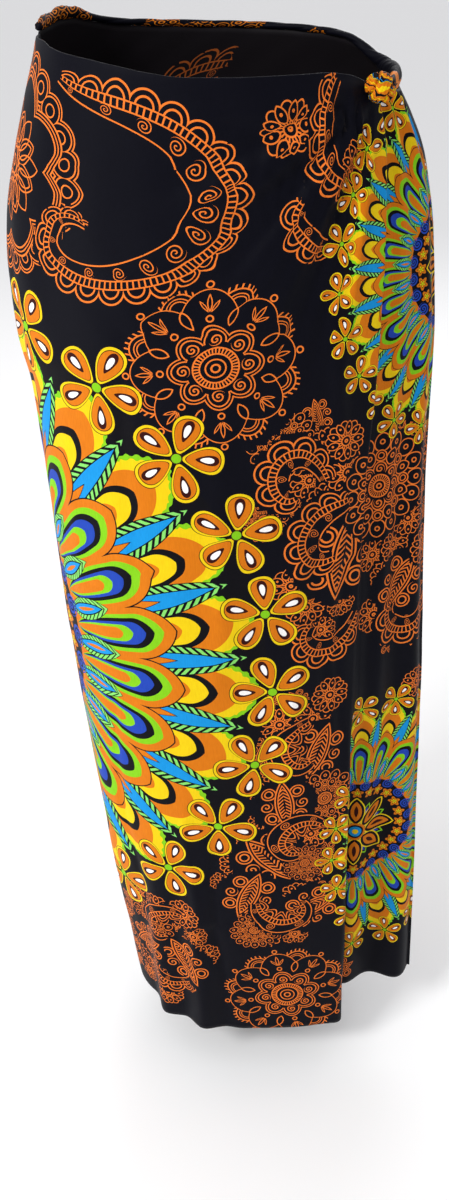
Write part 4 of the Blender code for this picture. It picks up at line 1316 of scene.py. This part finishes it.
centres, sides, profiles = np.array(centres), np.array(sides), np.array(profiles)
roll_rings = centres[:, None, :] + sides[:, None, :] * profiles[..., :1]
roll_rings[..., 2] += profiles[..., 1]
twisted = rayon("printed woven rayon, rolled", twisted_print)
roll_cloth = close_rings("waist_roll_cloth", roll_rings, twisted)
map_rings(roll_cloth.data, lengths_along(centres), np.array(girths))
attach(roll_cloth, "root")
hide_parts("waist_roll")


# The knot
# The two top corners of the cloth are tied together. A turn of one crosses the knot, with the
# other's folds bulging out at each side of it.
KNOT_HALF = np.array((0.0118, 0.0104, 0.0102))
KNOT_LEAN = math.radians(-28.0)
KNOT_RINGS = 72
KNOT_SIDES = 96


def knot_rings():
    """A lobed ball: a turn of cloth round its middle, and the folds it holds at each end."""
    down = np.linspace(0.0, math.pi, KNOT_RINGS + 1)[1:-1, None]
    spin = -np.linspace(0.0, FULL_TURN, KNOT_SIDES, endpoint=False)[None, :]
    level = np.cos(down) * np.ones_like(spin)
    ball = np.stack((np.sin(down) * np.cos(spin), np.sin(down) * np.sin(spin), level), axis=2)
    across = np.abs(ball[..., 0])
    turn = np.arctan2(ball[..., 2], ball[..., 1])
    groove = bump(across - 0.50, 0.07)
    inner = ease((0.5 - across) / 0.08)
    band_folds = 0.055 * np.abs(np.sin(ball[..., 0] * 15.0 + 1.2 * np.sin(turn + 0.6))) * inner
    end_folds = 0.095 * np.sin(turn * 6.0 + 5.0 * across) * ease((across - 0.5) / 0.15)
    band = 0.10 * ease((0.50 - across) / 0.12)
    size = 0.91 + band - 0.24 * groove + band_folds + end_folds
    local = ball * (KNOT_HALF * size[..., None])
    lean = np.array((
        (math.cos(KNOT_LEAN), 0.0, -math.sin(KNOT_LEAN)),
        (0.0, 1.0, 0.0),
        (math.sin(KNOT_LEAN), 0.0, math.cos(KNOT_LEAN)),
    ))
    return local @ lean.T + np.array(KNOT_MIDDLE)


def knotted_print(tree):
    """The yellow, orange and blue of a wheel's feathers, drawn into streaks by the folds."""
    place = add(tree, "UVMap", uv_map="cloth")
    wander = add(tree, "TexNoise", place, noise_dimensions="2D")
    wander.node.inputs["Scale"].default_value = 120.0
    down = add(tree, "SeparateXYZ", place)
    streak = add(tree, "Math MULTIPLY_ADD", wander, 0.70, add(tree, "Math MULTIPLY", down, 55.0))
    share = add(tree, "Math FRACT", streak)
    bands = (
        (0.01, ORANGE), (0.16, YELLOW), (0.24, ORANGE), (0.36, BLACK), (0.48, ORANGE), (0.62, YELLOW),
        (0.68, ORANGE), (0.76, BLACK), (0.88, CYAN), (0.91, BLACK), (0.96, YELLOW),
    )
    return paint(tree, to_linear(BLACK), share, *bands)


knotted = rayon("printed woven rayon, knotted", knotted_print)
knot_piece = close_rings("knot_cloth", knot_rings(), knotted)
knot_lengths = np.linspace(0.0, math.pi * KNOT_HALF[2], KNOT_RINGS - 1)
knot_girths = np.tile(np.linspace(0.0, FULL_TURN * KNOT_HALF[0], KNOT_SIDES + 1), (KNOT_RINGS - 1, 1))
map_rings(knot_piece.data, knot_lengths, knot_girths)
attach(knot_piece, "root")
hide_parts("knot")


# Floor and studio light
# A plain pale floor, wide enough to fill the view, with a large soft light above at the left of the
# camera, a low one beside it and a fill behind.
FLOOR_HEIGHT = -1.07
FLOOR_REACH = 32.0
FLOOR_CORNERS = (
    (-FLOOR_REACH, -FLOOR_REACH), (FLOOR_REACH, -FLOOR_REACH),
    (FLOOR_REACH, FLOOR_REACH), (-FLOOR_REACH, FLOOR_REACH),
)
floor_mesh = bpy.data.meshes.new("floor")
floor_mesh.from_pydata([(x, y, FLOOR_HEIGHT) for x, y in FLOOR_CORNERS], [], [(0, 1, 2, 3)])
floor = bpy.data.objects.new("floor", floor_mesh)
bpy.context.scene.collection.objects.link(floor)
floor_paint = bpy.data.materials.new("matt floor paint")
floor_paint.use_nodes = True
paint_shader = floor_paint.node_tree.nodes["Principled BSDF"]
paint_shader.inputs["Base Color"].default_value = (0.97, 0.97, 0.97, 1)
paint_shader.inputs["Roughness"].default_value = 0.8
floor_mesh.materials.append(floor_paint)
CLOTH_MIDDLE = Vector((0.0, 0.0, -0.45))
LIGHTS = (
    # name, place, size, watts
    ("key light", (-1.8, -1.7, 1.7), 0.8, 58.0),
    ("low left light", (-2.1, -1.0, -0.45), 0.6, 14.0),
    ("back fill", (0.6, 2.6, 1.4), 1.8, 24.0),
)
for name, place, size, watts in LIGHTS:
    light_data = bpy.data.lights.new(name, "AREA")
    light_data.size = size
    light_data.energy = watts
    light = bpy.data.objects.new(name, light_data)
    light.location = place
    aim = CLOTH_MIDDLE - Vector(place)
    light.rotation_euler = aim.to_track_quat("-Z", "Y").to_euler()
    bpy.context.scene.collection.objects.link(light)
world = bpy.data.worlds.new("studio")
world.use_nodes = True
world.node_tree.nodes["Background"].inputs["Color"].default_value = (0.98, 0.98, 1.0, 1)
toward = add(world.node_tree, "SeparateXYZ", add(world.node_tree, "TexCoord"))
above = add(world.node_tree, "Math MULTIPLY_ADD", toward.node.outputs[2], 0.30, 0.54)
glow = add(world.node_tree, "Math MULTIPLY_ADD", toward.node.outputs[1], 0.22, above)
world.node_tree.links.new(glow, world.node_tree.nodes["Background"].inputs["Strength"])
bpy.context.scene.world = world
bpy.context.scene.view_settings.view_transform = "Standard"
